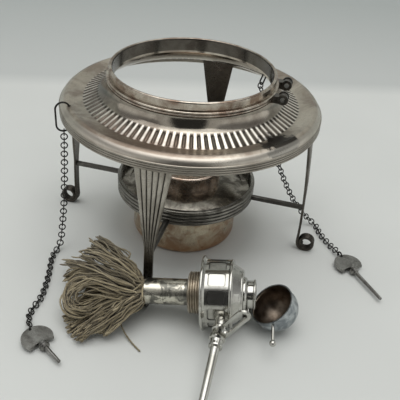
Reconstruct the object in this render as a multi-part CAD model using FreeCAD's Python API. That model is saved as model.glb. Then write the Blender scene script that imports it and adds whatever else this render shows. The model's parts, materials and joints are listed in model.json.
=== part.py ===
import FreeCAD, Part
import math
import os

# Spirit kettle stand with its lamp. Millimetres, +Z up, origin on the stand's
# axis at the surface it stands on. The front leg points to -Y.

# ---- stand top ----
RIM_R = 95.0            # outermost radius of the reeded rim
RIM_IN_R = 90.8         # inner face of the rim moulding
RIM_TOP_Z = 112.0       # the sheet's turned-down edge stands on the moulding here
RIM_LOW_Z = 105.0
RIM_REEDS = 4
REED_R = 0.8
ROLL_R = 88.5           # crest of the rounded roll inside the rim
ROLL_Z = 117.0
SHEET_T = 1.5           # thickness of the spun top sheet
FLUTE_OUT_R = 77.5      # outer end of the fluted slope
FLUTE_IN_R = 67.1
FLUTE_LOW_Z = 114.7
FLUTE_HIGH_Z = 119.3
FLUTES = 96
FLUTE_CUT_R = 1.55      # radius of the round groove tool
FLUTE_DEPTH = 0.75
COVE_TOP_R = 61.6       # top of the hollow moulding above the flutes
COVE_TOP_Z = 128.2
SEAT_R = 57.0           # bore the kettle sits in
COLLAR_R = 59.6
COLLAR_TOP_Z = 138.0
BASE_REED_R = 0.95      # two small reeds round the foot of the collar

# ---- legs, stretchers and lamp ring ----
LEG_AZIMUTHS = (0.0, 90.0, 180.0, 270.0)
LEG_NAMES = ("front", "right", "back", "left")
LEG_TOP_R = 88.2
LEG_LOW_R = 95.0
LEG_TOP_W = 27.5
LEG_LOW_W = 6.6
LEG_TAPER_Z = 44.0      # the taper ends here
LEG_T = 1.8
LEG_REEDS = 6
SCROLL_R = 6.2          # first turn of the scroll foot, on the strap's middle
SCROLL_END_R = 3.6
ARM_Z = 39.5
ARM_W = 4.2
ARM_H = 3.2
RING_R = 53.5
RING_IN_R = 51.0
RING_LOW_Z = 36.0
RING_TOP_Z = 49.5
RING_REEDS = 4
LIP_R = 45.0            # inward lip that carries the lamp
LIP_TOP_Z = 42.0
LIP_T = 1.5

# ---- font, the fuel vessel ----
FONT_R = 41.0
FONT_LOW_Z = 0.0
FONT_T = 1.2
FONT_ROUND = 5.0
SEAT_GAP = 0.3          # clearance between the font's flange and the ring
REST_GAP = 0.05         # gap where the font rests on the lip
SHOULDER_T = 1.2
NECK_R = 26.0
NECK_TOP_Z = 59.4
THREAD_R = 14.2         # outside of the burner's screw collar
THREAD_FIT = 0.3        # clearance between collar and neck thread

# ---- burner head, drawn upright about +Z, mouth up, origin at its flange ----
TUBE_R = 8.9            # wick tube
TUBE_T = 0.8
TUBE_BACK = 38.5        # length below the flange
TUBE_TOP = 27.6
COLLAR_BACK = 9.0
THREADS = 5
FLANGE_R = 25.0
FLANGE_T = 3.2
DRUM_R = 22.7
DRUM_TOP = 18.4
DRUM_T = 1.5
DRUM_PANELS = 12
PANEL_DEPTH = 0.7
BEAD_R = 23.0
BEAD_H = 2.6
CROWN_LOW_R = 20.0
CROWN_TOP_R = 16.6
CROWN_TOP = 27.6
STEP_R = 11.6
MOUTH_R = 9.4
MOUTH_IN_R = 8.1
MOUTH_TOP = 35.5

# ---- handle and slotted lever of the burner ----
HANDLE_H = 14.0         # height of the handle's axis above the flange
HANDLE_LEAN = 7.0       # degrees, away from the mouth
ROOT_R = 4.0
ROOT_END = 33.2
LEVER_T = 1.4
LEVER_FIT = 0.1
LEVER_ANGLE = -58.0     # from the mouth direction, turned about the handle
LEVER_LENGTH = 36.0
LEVER_W = 8.6
SLOT_W = 4.8
SLOT_START = 10.0
SOCKET_R = 5.2
SOCKET_END = 42.0
ROD_R = 2.95
ROD_TIP_R = 2.3
ROD_END = 92.0
FINIAL_R = 6.6
FINIAL_L = 12.0

# ---- snuffer cap ----
CAP_R = 15.7
CAP_T = 0.9
CAP_SKIRT = 6.0
CAP_DEPTH = 20.5
CAP_RIM_H = 29.6        # height of the closed rim above the flange
PIVOT_OFF = 18.6        # pivot to burner axis
PIVOT_PIN_R = 0.9
PIVOT_FIT = 0.08
CAP_OPEN = 60.0         # degrees open as built
KNOB_REACH = 29.4
KNOB_R = 2.2

# ---- wick ----
WICK_R = 7.6
WICK_TOP = 20.0
NECK_ROPE_R = 6.4

# ---- where the burner head lies ----
HEAD_X = 41.3
HEAD_Y = -103.6
HEAD_HEADING = 8.4
HEAD_PITCH = 6.5
HEAD_ROLL = 10.6

# ---- chains and locking pins ----
LINK_R = 2.25           # middle of the wire to the middle of the link
LINK_WIRE_R = 0.43
LINK_PITCH = 3.4
LINK_GAP = 0.12         # air between a link and the wire it hangs on
HOOK_AZIMUTH = -55.0    # left chain hangs here, measured from the front leg
HOOK_IN_R = 88.6
HOOK_OUT_R = 98.6
HOOK_LOW_Z = 98.4
HOOK_TOP_Z = 119.9
HOOK_WIRE_R = 0.65
STAPLE_AZIMUTH = 126.4  # right chain hangs here, inside the collar
STAPLE_R = 58.6         # its feet, under the shelf the collar stands on
STAPLE_IN_R = 56.6
STAPLE_DROP = 5.6
STAPLE_WIRE_R = 0.6
STAPLE_HALF_W = 2.3
LEFT_FLOOR = ((-82.0, -68.0), (-81.4, -78.0), (-77.2, -91.0), (-72.4, -107.5), (-69.6, -124.0),
              (-69.8, -135.0))
RIGHT_FLOOR = ((105.5, 34.0), (109.8, 26.0), (114.5, 17.5), (120.5, 9.5))
PIN_HEIGHT = 3.5
EYE_R = 2.6             # ring between the last link and the thumb plate
EYE_WIRE_R = 0.6
EYE_HOLE_R = 1.0
# x, y of the collar, heading, collar to tip, heading of the ring
LEFT_PIN = (-47.2, -161.5, -32.0, 18.0, -58.0)
RIGHT_PIN = (141.5, -19.0, -52.0, 34.0, -55.0)
PLATE_W = 20.0
PLATE_BACK = 18.4       # collar's middle to the far edge of the thumb plate
PLATE_FRONT = 3.4
PLATE_T = 2.2
PIN_BEAD_R = 3.4
SHANK_R = 1.5
SHANK_TIP_R = 1.2

# ---- kettle hinge ----
HINGE_AZIMUTH = 92.0
HINGE_R = 66.4
HINGE_Z = 130.0
BARREL_R = 3.7
BARREL_L = 7.6
HINGE_GAP = 18.0
HINGE_BORE_R = 1.75

V = FreeCAD.Vector
UP = V(0, 0, 1)
ORIGIN = V(0, 0, 0)


def rad(a):
    return math.radians(a)


def around(azimuth, r, z=0.0):
    """Point at an azimuth counted from -Y towards +X."""
    return V(r * math.sin(rad(azimuth)), -r * math.cos(rad(azimuth)), z)


def turned(shape, azimuth):
    """A shape drawn with +X outward, turned to an azimuth."""
    s = shape.copy()
    s.rotate(ORIGIN, UP, azimuth - 90.0)
    return s


def spin(edges):
    """Revolve a closed profile of edges in the XZ plane about Z."""
    face = Part.Face(Part.Wire(edges))
    body = face.revolve(ORIGIN, UP, 360)
    if body.Volume < 0:
        body.reverse()
    return body


def lines(points):
    pts = [V(r, 0, z) for r, z in points]
    return [Part.makeLine(a, b) for a, b in zip(pts[:-1], pts[1:])]


def arc(a, m, b):
    return Part.Arc(V(a[0], 0, a[1]), V(m[0], 0, m[1]), V(b[0], 0, b[1])).toShape()


def reeds(a, b, count, side=1.0):
    """Half-round reeds along a straight line from a to b, bulging to one side."""
    dx = (b[0] - a[0]) / count
    dz = (b[1] - a[1]) / count
    out = []
    for i in range(count):
        p = (a[0] + dx * i, a[1] + dz * i)
        q = (a[0] + dx * (i + 1), a[1] + dz * (i + 1))
        m = ((p[0] + q[0]) / 2 - side * dz / 2, (p[1] + q[1]) / 2 + side * dx / 2)
        out.append(arc(p, m, q))
    return out


def polygon_ring(points):
    return spin(lines(list(points) + [points[0]]))


def rod(a, b, r):
    d = b.sub(a)
    return Part.makeCylinder(r, d.Length, a, d)


def cone_rod(a, b, r1, r2):
    d = b.sub(a)
    return Part.makeCone(r1, r2, d.Length, a, d)


def single(shape):
    """The one solid of a shape made by a cut or a fuse."""
    return max(shape.Solids, key=lambda s: s.Volume)


def save(name, shape):
    shape.exportStep("parts/%s.step" % name)


# ---- top of the stand ----
def sheet_blank():
    """The spun sheet before the flutes are struck."""
    t = SHEET_T
    e = RIM_R - REED_R
    edges = [arc((e, RIM_TOP_Z), (91.9, 115.55), (ROLL_R, ROLL_Z)),
             arc((ROLL_R, ROLL_Z), (83.2, 115.5), (FLUTE_OUT_R, FLUTE_LOW_Z))]
    edges += lines([(FLUTE_OUT_R, FLUTE_LOW_Z), (FLUTE_IN_R, FLUTE_HIGH_Z)])
    edges.append(arc((FLUTE_IN_R, FLUTE_HIGH_Z), (63.3, 123.2), (COVE_TOP_R, COVE_TOP_Z)))
    edges += lines([(COVE_TOP_R, COVE_TOP_Z), (SEAT_R, COVE_TOP_Z), (SEAT_R, COVE_TOP_Z - t),
                    (COVE_TOP_R - t, COVE_TOP_Z - t)])
    foot = (FLUTE_IN_R - 0.9, FLUTE_HIGH_Z - 1.5)
    edges.append(arc((COVE_TOP_R - t, COVE_TOP_Z - t), (61.9, 122.3), foot))
    edges += lines([(FLUTE_IN_R - 0.9, FLUTE_HIGH_Z - 1.5), (FLUTE_OUT_R - 0.5, FLUTE_LOW_Z - t)])
    edges.append(arc((FLUTE_OUT_R - 0.5, FLUTE_LOW_Z - t), (83.0, 114.0), (ROLL_R - 0.2, ROLL_Z - t)))
    edges.append(arc((ROLL_R - 0.2, ROLL_Z - t), (90.85, 114.45), (e - t, RIM_TOP_Z)))
    edges += lines([(e - t, RIM_TOP_Z), (e, RIM_TOP_Z)])
    return spin(edges)


def make_sheet():
    sheet = sheet_blank()
    # Round-ended grooves down the slope, outside and, half a step on, inside.
    tools = []
    pitch = 360.0 / FLUTES
    lift = FLUTE_CUT_R - FLUTE_DEPTH
    slope = V(FLUTE_OUT_R - FLUTE_IN_R, 0, FLUTE_LOW_Z - FLUTE_HIGH_Z).normalize()
    normal = V(-slope.z, 0, slope.x)
    inset = FLUTE_CUT_R + 0.1
    for side, shift in ((1.0, 0.0), (-1.0, 0.5)):
        a = V(FLUTE_IN_R, 0, FLUTE_HIGH_Z) + slope * inset
        b = V(FLUTE_OUT_R, 0, FLUTE_LOW_Z) - slope * inset
        if side > 0:
            move = normal * lift
        else:
            move = normal * (-SHEET_T * 0.92 - lift)
        tool = rod(a + move, b + move, FLUTE_CUT_R)
        tool = tool.fuse([Part.makeSphere(FLUTE_CUT_R, a + move), Part.makeSphere(FLUTE_CUT_R, b + move)])
        tool = tool.removeSplitter()
        for i in range(FLUTES):
            s = tool.copy()
            s.rotate(ORIGIN, UP, (i + shift) * pitch)
            tools.append(s)
    hole_r = HOOK_WIRE_R + 0.75
    tools.append(Part.makeCylinder(hole_r, 12, around(HOOK_AZIMUTH, HOOK_IN_R + 0.35, RIM_TOP_Z), UP))
    return single(sheet.cut(tools))


def make_rim():
    """Reeded moulding under the sheet's turned-down edge."""
    e = RIM_R - REED_R
    low = RIM_TOP_Z - 2 * REED_R * RIM_REEDS
    edges = reeds((e, RIM_TOP_Z), (e, low), RIM_REEDS, 1.0)
    edges += lines([(e, low), (e - 0.8, RIM_LOW_Z), (RIM_IN_R + 0.6, RIM_LOW_Z), (RIM_IN_R, RIM_LOW_Z + 0.6),
                    (RIM_IN_R, RIM_TOP_Z), (e, RIM_TOP_Z)])
    return spin(edges)


def make_base_reeds():
    low = COVE_TOP_Z
    r = COLLAR_R
    out_r = COLLAR_R + 1.2
    edges = lines([(r, low), (out_r, low)])
    edges += reeds((out_r, low), (out_r, low + 4 * BASE_REED_R), 2, -1.0)
    edges += lines([(out_r, low + 4 * BASE_REED_R), (r, low + 4 * BASE_REED_R), (r, low)])
    return spin(edges)


def make_collar():
    low = COVE_TOP_Z
    t = COLLAR_R - SEAT_R
    edges = lines([(SEAT_R, low), (COLLAR_R, low), (COLLAR_R, COLLAR_TOP_Z - t / 2)])
    mid = (SEAT_R + t / 2, COLLAR_TOP_Z)
    edges.append(arc((COLLAR_R, COLLAR_TOP_Z - t / 2), mid, (SEAT_R, COLLAR_TOP_Z - t / 2)))
    edges += lines([(SEAT_R, COLLAR_TOP_Z - t / 2), (SEAT_R, low)])
    return spin(edges)


# ---- legs ----
def leg_path():
    """Middle of the strap in the radial plane, at even steps: down, out and round the scroll."""
    top_z = ROLL_Z + 1.5
    cz = SCROLL_R + LEG_T / 2 + 0.42
    cx = LEG_LOW_R + SCROLL_R
    pts = []
    steps = 26
    for i in range(steps):
        z = top_z - (top_z - cz) * i / steps
        k = (top_z - z) / (top_z - cz)
        pts.append((LEG_TOP_R + (LEG_LOW_R - LEG_TOP_R) * math.sin(k * math.pi / 2), z))
    steps = 14
    for i in range(steps + 1):
        k = i / float(steps)
        a = math.pi + k * rad(415.0)
        r = SCROLL_R + (SCROLL_END_R - SCROLL_R) * max(0.0, (k - 0.3) / 0.7)
        pts.append((cx + r * math.cos(a), cz + r * math.sin(a)))
    return pts, 26


def leg_width(z, in_scroll):
    if in_scroll or z < LEG_TAPER_Z:
        return LEG_LOW_W
    return LEG_LOW_W + (LEG_TOP_W - LEG_LOW_W) * (z - LEG_TAPER_Z) / (RIM_TOP_Z - LEG_TAPER_Z)


def reed_row(a, b, push, count):
    """Half-round reeds from a to b, each pushed out by the same step."""
    step = b.sub(a) * (1.0 / count)
    out = []
    for i in range(count):
        p = a + step * i
        q = a + step * (i + 1)
        out.append(Part.Arc(p, (p + q) * 0.5 + push, q).toShape())
    return out


def leg_section(p, direction, width, back_rise):
    """Strap section across the path: round reeds outside, fainter ones on the back."""
    t = V(direction[0], 0, direction[1]).normalize()
    n = V(-t.z, 0, t.x)
    y = V(0, width / 2, 0)
    c = V(p[0], 0, p[1])
    back = c - n * (LEG_T * 0.5)
    front = c + n * (LEG_T * 0.15)
    rise = min(width / LEG_REEDS / 2, 0.9)
    edges = reed_row(front - y, front + y, n * rise, LEG_REEDS)
    edges.append(Part.makeLine(front + y, back + y))
    edges += reed_row(back + y, back - y, n * -back_rise, LEG_REEDS)
    edges.append(Part.makeLine(back - y, front - y))
    return Part.Wire(edges)


def make_leg():
    pts, bend = leg_path()
    sections = []
    for i, p in enumerate(pts):
        a = pts[max(i - 1, 0)]
        b = pts[min(i + 1, len(pts) - 1)]
        direction = (b[0] - a[0], b[1] - a[1])
        if i == 0:
            direction = (0.0, -1.0)
        back_rise = 0.08 + 0.32 * min(max((i - bend + 4) / 4.0, 0.0), 1.0)
        sections.append(leg_section(p, direction, leg_width(p[1], i > bend - 3), back_rise))
    blank = Part.makeLoft(sections, True, False)
    # The strap ends against the underside of the sheet.
    return single(blank.cut([sheet_blank(), make_rim()]))


def make_arm():
    """Half-round stretcher from the lamp ring out to the leg."""
    a = V(RING_IN_R + 1.2, 0, ARM_Z)
    b = V(LEG_LOW_R, 0, ARM_Z)
    w = ARM_W / 2
    h = ARM_H
    z0 = ARM_Z - h / 2
    edges = [Part.Arc(V(a.x, -w, z0), V(a.x, 0, z0 + h), V(a.x, w, z0)).toShape(),
             Part.makeLine(V(a.x, w, z0), V(a.x, -w, z0))]
    return Part.Face(Part.Wire(edges)).extrude(b.sub(a))


def make_lamp_ring():
    edges = reeds((RING_R - 0.9, RING_TOP_Z - 0.8), (RING_R - 0.9, RING_LOW_Z + 0.8), RING_REEDS, 1.0)
    edges += lines([(RING_R - 0.9, RING_LOW_Z + 0.8), (RING_R - 1.7, RING_LOW_Z), (RING_IN_R, RING_LOW_Z),
                    (RING_IN_R, LIP_TOP_Z - LIP_T), (LIP_R, LIP_TOP_Z - LIP_T), (LIP_R, LIP_TOP_Z),
                    (RING_IN_R, LIP_TOP_Z), (RING_IN_R, RING_TOP_Z - 0.5), (RING_IN_R + 0.5, RING_TOP_Z),
                    (RING_R - 1.7, RING_TOP_Z), (RING_R - 0.9, RING_TOP_Z - 0.8)])
    return spin(edges)


# ---- font ----
FLANGE_EDGE_R = RING_IN_R - SEAT_GAP
SHELF_Z = LIP_TOP_Z + REST_GAP


def make_font_body():
    r = FONT_R
    t = FONT_T
    q = FONT_ROUND
    s = math.sqrt(0.5)
    edges = lines([(0, FONT_LOW_Z), (r - q, FONT_LOW_Z)])
    edges.append(arc((r - q, FONT_LOW_Z), (r - q + q * s, FONT_LOW_Z + q - q * s), (r, FONT_LOW_Z + q)))
    edges += lines([(r, FONT_LOW_Z + q), (r, SHELF_Z), (r - t, SHELF_Z), (r - t, FONT_LOW_Z + q)])
    i = q - t
    edges.append(arc((r - t, FONT_LOW_Z + q), (r - q + i * s, FONT_LOW_Z + q - i * s), (r - q, FONT_LOW_Z + t)))
    edges += lines([(r - q, FONT_LOW_Z + t), (0, FONT_LOW_Z + t), (0, FONT_LOW_Z)])
    return spin(edges)


def make_font_shoulder():
    t = SHOULDER_T
    e = FLANGE_EDGE_R
    z = SHELF_Z
    edges = [arc((e, z), (e + 0.25, z + t / 2), (e, z + t))]
    edges += lines([(e, z + t), (44.5, z + t)])
    edges.append(arc((44.5, z + t), (35.5, z + t + 2.0), (NECK_R, z + t + 2.6)))
    edges += lines([(NECK_R, z + t + 2.6), (NECK_R - 2.0, z + t + 2.6), (NECK_R - 2.0, z + 2.6)])
    edges.append(arc((NECK_R - 2.0, z + 2.6), (34.0, z + 1.9), (FONT_R - FONT_T, z)))
    edges += lines([(FONT_R - FONT_T, z), (e, z)])
    return spin(edges)


def make_font_neck():
    z = SHELF_Z + SHOULDER_T + 2.6
    t = 1.3
    bore = THREAD_R + THREAD_FIT
    edges = lines([(NECK_R - 2.0, z), (NECK_R, z), (NECK_R, NECK_TOP_Z - 1.0)])
    c = (NECK_R - 0.3, NECK_TOP_Z - 0.3)
    edges.append(arc((NECK_R, NECK_TOP_Z - 1.0), c, (NECK_R - 1.0, NECK_TOP_Z)))
    edges += lines([(NECK_R - 1.0, NECK_TOP_Z), (bore, NECK_TOP_Z), (bore, NECK_TOP_Z - 8.0),
                    (bore + 2.0, NECK_TOP_Z - 8.0), (bore + 2.0, NECK_TOP_Z - t),
                    (NECK_R - t, NECK_TOP_Z - t), (NECK_R - t, z + 1.2), (NECK_R - 2.0, z)])
    return spin(edges)


# ---- burner head, drawn upright ----
def tube(r_out, r_in, z0, z1):
    return Part.makeCylinder(r_out, z1 - z0, V(0, 0, z0)).cut(Part.makeCylinder(r_in, z1 - z0, V(0, 0, z0)))


def make_thread_collar():
    edges = lines([(TUBE_R, 0), (TUBE_R, -COLLAR_BACK), (THREAD_R - 1.0, -COLLAR_BACK)])
    z = -COLLAR_BACK
    step = COLLAR_BACK / (THREADS + 0.5)
    low = THREAD_R - 0.8
    edges += lines([(THREAD_R - 1.0, z), (low, z + 0.2)])
    z += 0.2
    for i in range(THREADS):
        edges += lines([(low, z), (THREAD_R, z + step * 0.45), (THREAD_R, z + step * 0.55), (low, z + step)])
        z += step
    edges += lines([(low, z), (low, 0), (TUBE_R, 0)])
    return spin(edges)


def make_burner_flange():
    r = FLANGE_R
    h = FLANGE_T
    edges = lines([(TUBE_R, 0), (r - 1.0, 0)])
    edges.append(arc((r - 1.0, 0), (r, 1.0), (r - 1.0, 2.0)))
    edges += lines([(r - 1.0, 2.0), (DRUM_R + 0.2, h), (TUBE_R, h), (TUBE_R, 0)])
    return spin(edges)


def panel_tool(r, half_w, z0, z1, tilt=0.0):
    """Rounded block that sinks one panel into a drum wall."""
    b = Part.makeBox(4.0, 2 * half_w, z1 - z0, V(0, -half_w, 0))
    b = b.makeFillet(min(half_w, (z1 - z0) / 2) * 0.35, [e for e in b.Edges if abs(e.tangentAt(0).x) > 0.9])
    b.rotate(ORIGIN, V(0, 1, 0), tilt)
    b.translate(V(r, 0, z0))
    return b


def panelled(shape, tool, count, phase=0.0):
    tools = []
    for i in range(count):
        s = tool.copy()
        s.rotate(ORIGIN, UP, phase + i * 360.0 / count)
        tools.append(s)
    return single(shape.cut(tools))


def make_drum():
    r = DRUM_R
    t = DRUM_T
    z0 = FLANGE_T
    z1 = DRUM_TOP
    edges = lines([(r - t, z0), (r, z0), (r, z1), (14.0, z1), (14.0, z1 - 1.2), (r - t, z1 - 1.2), (r - t, z0)])
    body = spin(edges)
    half = math.pi * r / DRUM_PANELS * 0.76
    sag = r - math.sqrt(r * r - half * half)
    tool = panel_tool(r - PANEL_DEPTH - sag * 0.5, half, z0 + 1.8, z1 - 1.8)
    body = panelled(body, tool, DRUM_PANELS, 180.0 / DRUM_PANELS)
    return single(body)


def make_drum_bead():
    z = DRUM_TOP
    r = BEAD_R
    edges = lines([(18.6, z), (r - 0.9, z)])
    edges.append(arc((r - 0.9, z), (r, z + BEAD_H / 2), (r - 0.9, z + BEAD_H)))
    edges += lines([(r - 0.9, z + BEAD_H), (18.6, z + BEAD_H), (18.6, z)])
    return spin(edges)


def make_crown():
    z0 = DRUM_TOP + BEAD_H
    z1 = CROWN_TOP
    a = CROWN_LOW_R
    b = CROWN_TOP_R
    edges = lines([(a - 1.3, z0), (a, z0), (b, z1 - 1.4)])
    edges.append(arc((b, z1 - 1.4), (b - 0.5, z1 - 0.4), (b - 1.5, z1)))
    edges += lines([(b - 1.5, z1), (TUBE_R, z1), (TUBE_R, z1 - 1.2), (b - 1.9, z1 - 1.2), (a - 1.3, z0)])
    body = spin(edges)
    tilt = -math.degrees(math.atan2(a - b, z1 - 1.4 - z0))
    half = math.pi * (a + b) / 2 / DRUM_PANELS * 0.66
    tool = panel_tool(a - 0.75, half, z0 + 0.9, z1 - 2.0, tilt)
    return panelled(body, tool, DRUM_PANELS, 180.0 / DRUM_PANELS)


def make_mouth_tube():
    z0 = CROWN_TOP
    z1 = MOUTH_TOP
    edges = lines([(MOUTH_IN_R, z0), (STEP_R, z0)])
    edges.append(arc((STEP_R, z0), (STEP_R - 0.4, z0 + 1.4), (MOUTH_R, z0 + 2.2)))
    edges += lines([(MOUTH_R, z0 + 2.2), (MOUTH_R, z1 - 1.6)])
    edges.append(arc((MOUTH_R, z1 - 1.6), (MOUTH_R + 0.8, z1 - 0.8), (MOUTH_R, z1)))
    edges += lines([(MOUTH_R, z1), (MOUTH_IN_R, z1), (MOUTH_IN_R, z0)])
    return spin(edges)


def along_handle(a, b, r1, r2):
    return cone_rod(V(0, -a, HANDLE_H), V(0, -b, HANDLE_H), r1, r2)


def turned_on_handle(profile):
    """Revolve (distance out, radius) points about the handle's axis."""
    pts = [V(r, -d, 0) for d, r in profile]
    face = Part.Face(Part.makePolygon(pts + [pts[0]]))
    s = face.revolve(ORIGIN, V(0, 1, 0), 360)
    s.translate(V(0, 0, HANDLE_H))
    return s


def lean(shape):
    """Tip a handle piece back about the point where its axis meets the drum."""
    s = shape.copy()
    s.rotate(V(0, -DRUM_R, HANDLE_H), V(1, 0, 0), HANDLE_LEAN)
    return s


SPIGOT_R = 2.6
LEVER_START = ROOT_END
LEVER_END = ROOT_END + LEVER_T


def make_handle_root():
    d0 = DRUM_R - DRUM_T - 0.2
    prof = [(d0, 0), (d0, ROOT_R), (DRUM_R + 4.0, ROOT_R), (DRUM_R + 5.0, ROOT_R + 0.8),
            (DRUM_R + 6.4, ROOT_R + 0.8), (DRUM_R + 7.2, ROOT_R), (LEVER_START - 0.1, ROOT_R),
            (LEVER_START - 0.1, SPIGOT_R), (LEVER_END + 0.1, SPIGOT_R), (LEVER_END + 0.1, 0)]
    return lean(turned_on_handle(prof))


def make_handle_socket():
    d = LEVER_END + 0.1
    prof = [(d, 0), (d, SOCKET_R - 0.4), (d + 0.6, SOCKET_R), (d + 1.6, SOCKET_R), (d + 2.4, SOCKET_R - 1.0),
            (d + 4.4, SOCKET_R - 1.2), (SOCKET_END - 1.2, SOCKET_R - 1.1), (SOCKET_END - 0.8, SOCKET_R - 0.6),
            (SOCKET_END, SOCKET_R - 0.8), (SOCKET_END, 0)]
    return lean(turned_on_handle(prof))


def make_handle_rod():
    return lean(along_handle(SOCKET_END, ROD_END, ROD_R, ROD_TIP_R))


def make_finial():
    d = ROD_END
    r = FINIAL_R
    prof = [(d, 0), (d, 3.4), (d + 1.2, 3.6), (d + 1.8, 2.6), (d + 3.0, 2.6), (d + 4.2, r - 0.8), (d + 5.2, r),
            (d + 6.6, r), (d + 8.4, r * 0.82), (d + 10.2, r * 0.5), (d + FINIAL_L, 1.2), (d + FINIAL_L, 0)]
    return lean(turned_on_handle(prof))


def make_lever():
    """Eye round the handle's spigot and a long slotted tongue."""
    t = LEVER_T
    y = -LEVER_END
    ax = V(0, 1, 0)
    half = LEVER_W / 2
    eye = Part.makeCylinder(half + 0.6, t, V(0, y, 0), ax)
    body = Part.makeBox(2 * half, t, LEVER_LENGTH - half, V(-half, y, 0))
    tip = Part.makeCylinder(half, t, V(0, y, LEVER_LENGTH - half), ax)
    blank = eye.fuse([body, tip]).removeSplitter()
    s = SLOT_W / 2
    s0 = SLOT_START
    s1 = LEVER_LENGTH - (LEVER_W - SLOT_W) / 2 - s
    slot = Part.makeBox(2 * s, t, s1 - s0, V(-s, y, s0))
    ends = [Part.makeCylinder(s, t, V(0, y, s0), ax), Part.makeCylinder(s, t, V(0, y, s1), ax)]
    hole = Part.makeCylinder(SPIGOT_R + LEVER_FIT, t, V(0, y, 0), ax)
    out = single(blank.cut([slot.fuse(ends), hole]))
    out.rotate(ORIGIN, ax, LEVER_ANGLE)
    out.translate(V(0, 0, HANDLE_H))
    return lean(out)


# ---- snuffer cap and its pivot ----
LUG_Y = 6.0
LUG_T = 1.8


def make_lugs():
    """Two ears on the crown that hold the pivot pin."""
    out = []
    for sign in (-1, 1):
        y0 = sign * LUG_Y - LUG_T / 2
        prof = [V(17.3, y0, DRUM_TOP + BEAD_H), V(21.0, y0, DRUM_TOP + BEAD_H),
                V(PIVOT_OFF + 2.2, y0, CAP_RIM_H), V(PIVOT_OFF - 2.2, y0, CAP_RIM_H),
                V(15.4, y0, CROWN_TOP - 2.4)]
        plate = Part.Face(Part.makePolygon(prof + [prof[0]])).extrude(V(0, LUG_T, 0))
        knob = Part.makeCylinder(2.2, LUG_T, V(PIVOT_OFF, y0, CAP_RIM_H), V(0, 1, 0))
        out.append(plate.fuse(knob).removeSplitter())
    return out


def pivot_cylinder(r, y0, y1):
    return Part.makeCylinder(r, y1 - y0, V(PIVOT_OFF, y0, CAP_RIM_H), V(0, 1, 0))


def make_pivot_pin():
    e = LUG_Y + LUG_T / 2
    shaft = pivot_cylinder(PIVOT_PIN_R, -e, e)
    heads = [pivot_cylinder(PIVOT_PIN_R + 0.7, -e - 0.8, -e), pivot_cylinder(PIVOT_PIN_R + 0.7, e, e + 0.8)]
    return shaft.fuse(heads).removeSplitter()


def cap_swing(shape):
    s = shape.copy()
    s.rotate(V(PIVOT_OFF, 0, CAP_RIM_H), V(0, 1, 0), CAP_OPEN)
    return s


def dome_edge(r, z, rise):
    """Quarter ellipse from a skirt's top in to the axis."""
    steps = [rad(90.0 * i / 8) for i in range(9)]
    curve = Part.BSplineCurve()
    curve.interpolate([V(r * math.cos(t), 0, z + rise * math.sin(t)) for t in steps[:-1]] + [V(0, 0, z + rise)],
                      InitialTangent=UP, FinalTangent=V(-1, 0, 0))
    return curve.toShape()


def cap_solid(r, step, rise):
    """Straight skirt with a dome over it; the step thins it above the rim bead."""
    z = CAP_RIM_H
    k = z + CAP_SKIRT
    q = r - step
    edges = lines([(0, z), (r, z), (r, z + 1.2), (q, z + 1.2 + step), (q, k)])
    edges.append(dome_edge(q, k, rise))
    edges += lines([(0, k + rise), (0, z)])
    return spin(edges)


def make_cap():
    """Deep round cap, drawn closed over the mouth."""
    rise = CAP_DEPTH - CAP_SKIRT
    outer = cap_solid(CAP_R, 0.25, rise)
    inner = cap_solid(CAP_R - CAP_T, 0.25, rise - CAP_T)
    return single(outer.cut(inner))


def make_cap_knuckle():
    """Strap from the skirt to a barrel that turns on the pivot pin."""
    w = LUG_Y - LUG_T / 2 - 0.3
    z = CAP_RIM_H
    barrel = pivot_cylinder(1.9, -w, w)
    strap = Part.makeBox(PIVOT_OFF - CAP_R + 2.0, 2 * w, 1.4, V(CAP_R - 2.0, -w, z + 0.5))
    body = barrel.fuse(strap).removeSplitter()
    core = Part.makeCylinder(CAP_R, 6, V(0, 0, z - 3))
    rim = Part.makeCylinder(CAP_R - 0.25, 6, V(0, 0, z + 1.2))
    body = body.cut([core, rim, pivot_cylinder(PIVOT_PIN_R + PIVOT_FIT, -w, w)])
    return single(body)


def make_cap_knob():
    z = CAP_RIM_H + 2.6
    stalk = rod(V(0, -CAP_R + 1.5, z), V(0, -KNOB_REACH, z), 1.0)
    ball = Part.makeSphere(KNOB_R, V(0, -KNOB_REACH, z))
    body = stalk.fuse(ball).removeSplitter()
    return single(body.cut(Part.makeCylinder(CAP_R - 0.25, 8, V(0, 0, CAP_RIM_H))))


# ---- wick ----
def make_wick():
    """Rope core through the tube and a spread tassel below it."""
    back = TUBE_BACK
    core = Part.makeCylinder(WICK_R, WICK_TOP + back - 3.0, V(0, 0, -back + 3.0))
    neck = Part.makeCone(NECK_ROPE_R, WICK_R, 5.0, V(0, 0, -back - 2.0))
    return core.fuse(neck).removeSplitter()


def head_placement():
    """The burner head lies on its flange's edge, mouth to +X and a little up."""
    low = FLANGE_R - 1.0
    z0 = low * math.cos(rad(HEAD_PITCH)) + 1.0 - math.sin(rad(HEAD_PITCH)) + 0.02
    rot = FreeCAD.Rotation(UP, HEAD_HEADING)
    rot = rot.multiply(FreeCAD.Rotation(V(0, 1, 0), 90.0 - HEAD_PITCH))
    rot = rot.multiply(FreeCAD.Rotation(UP, HEAD_ROLL))
    return FreeCAD.Placement(V(HEAD_X, HEAD_Y, z0), rot)


HEAD = head_placement()


def lay(shape):
    s = shape.copy()
    s.Placement = HEAD.multiply(s.Placement)
    return s


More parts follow.
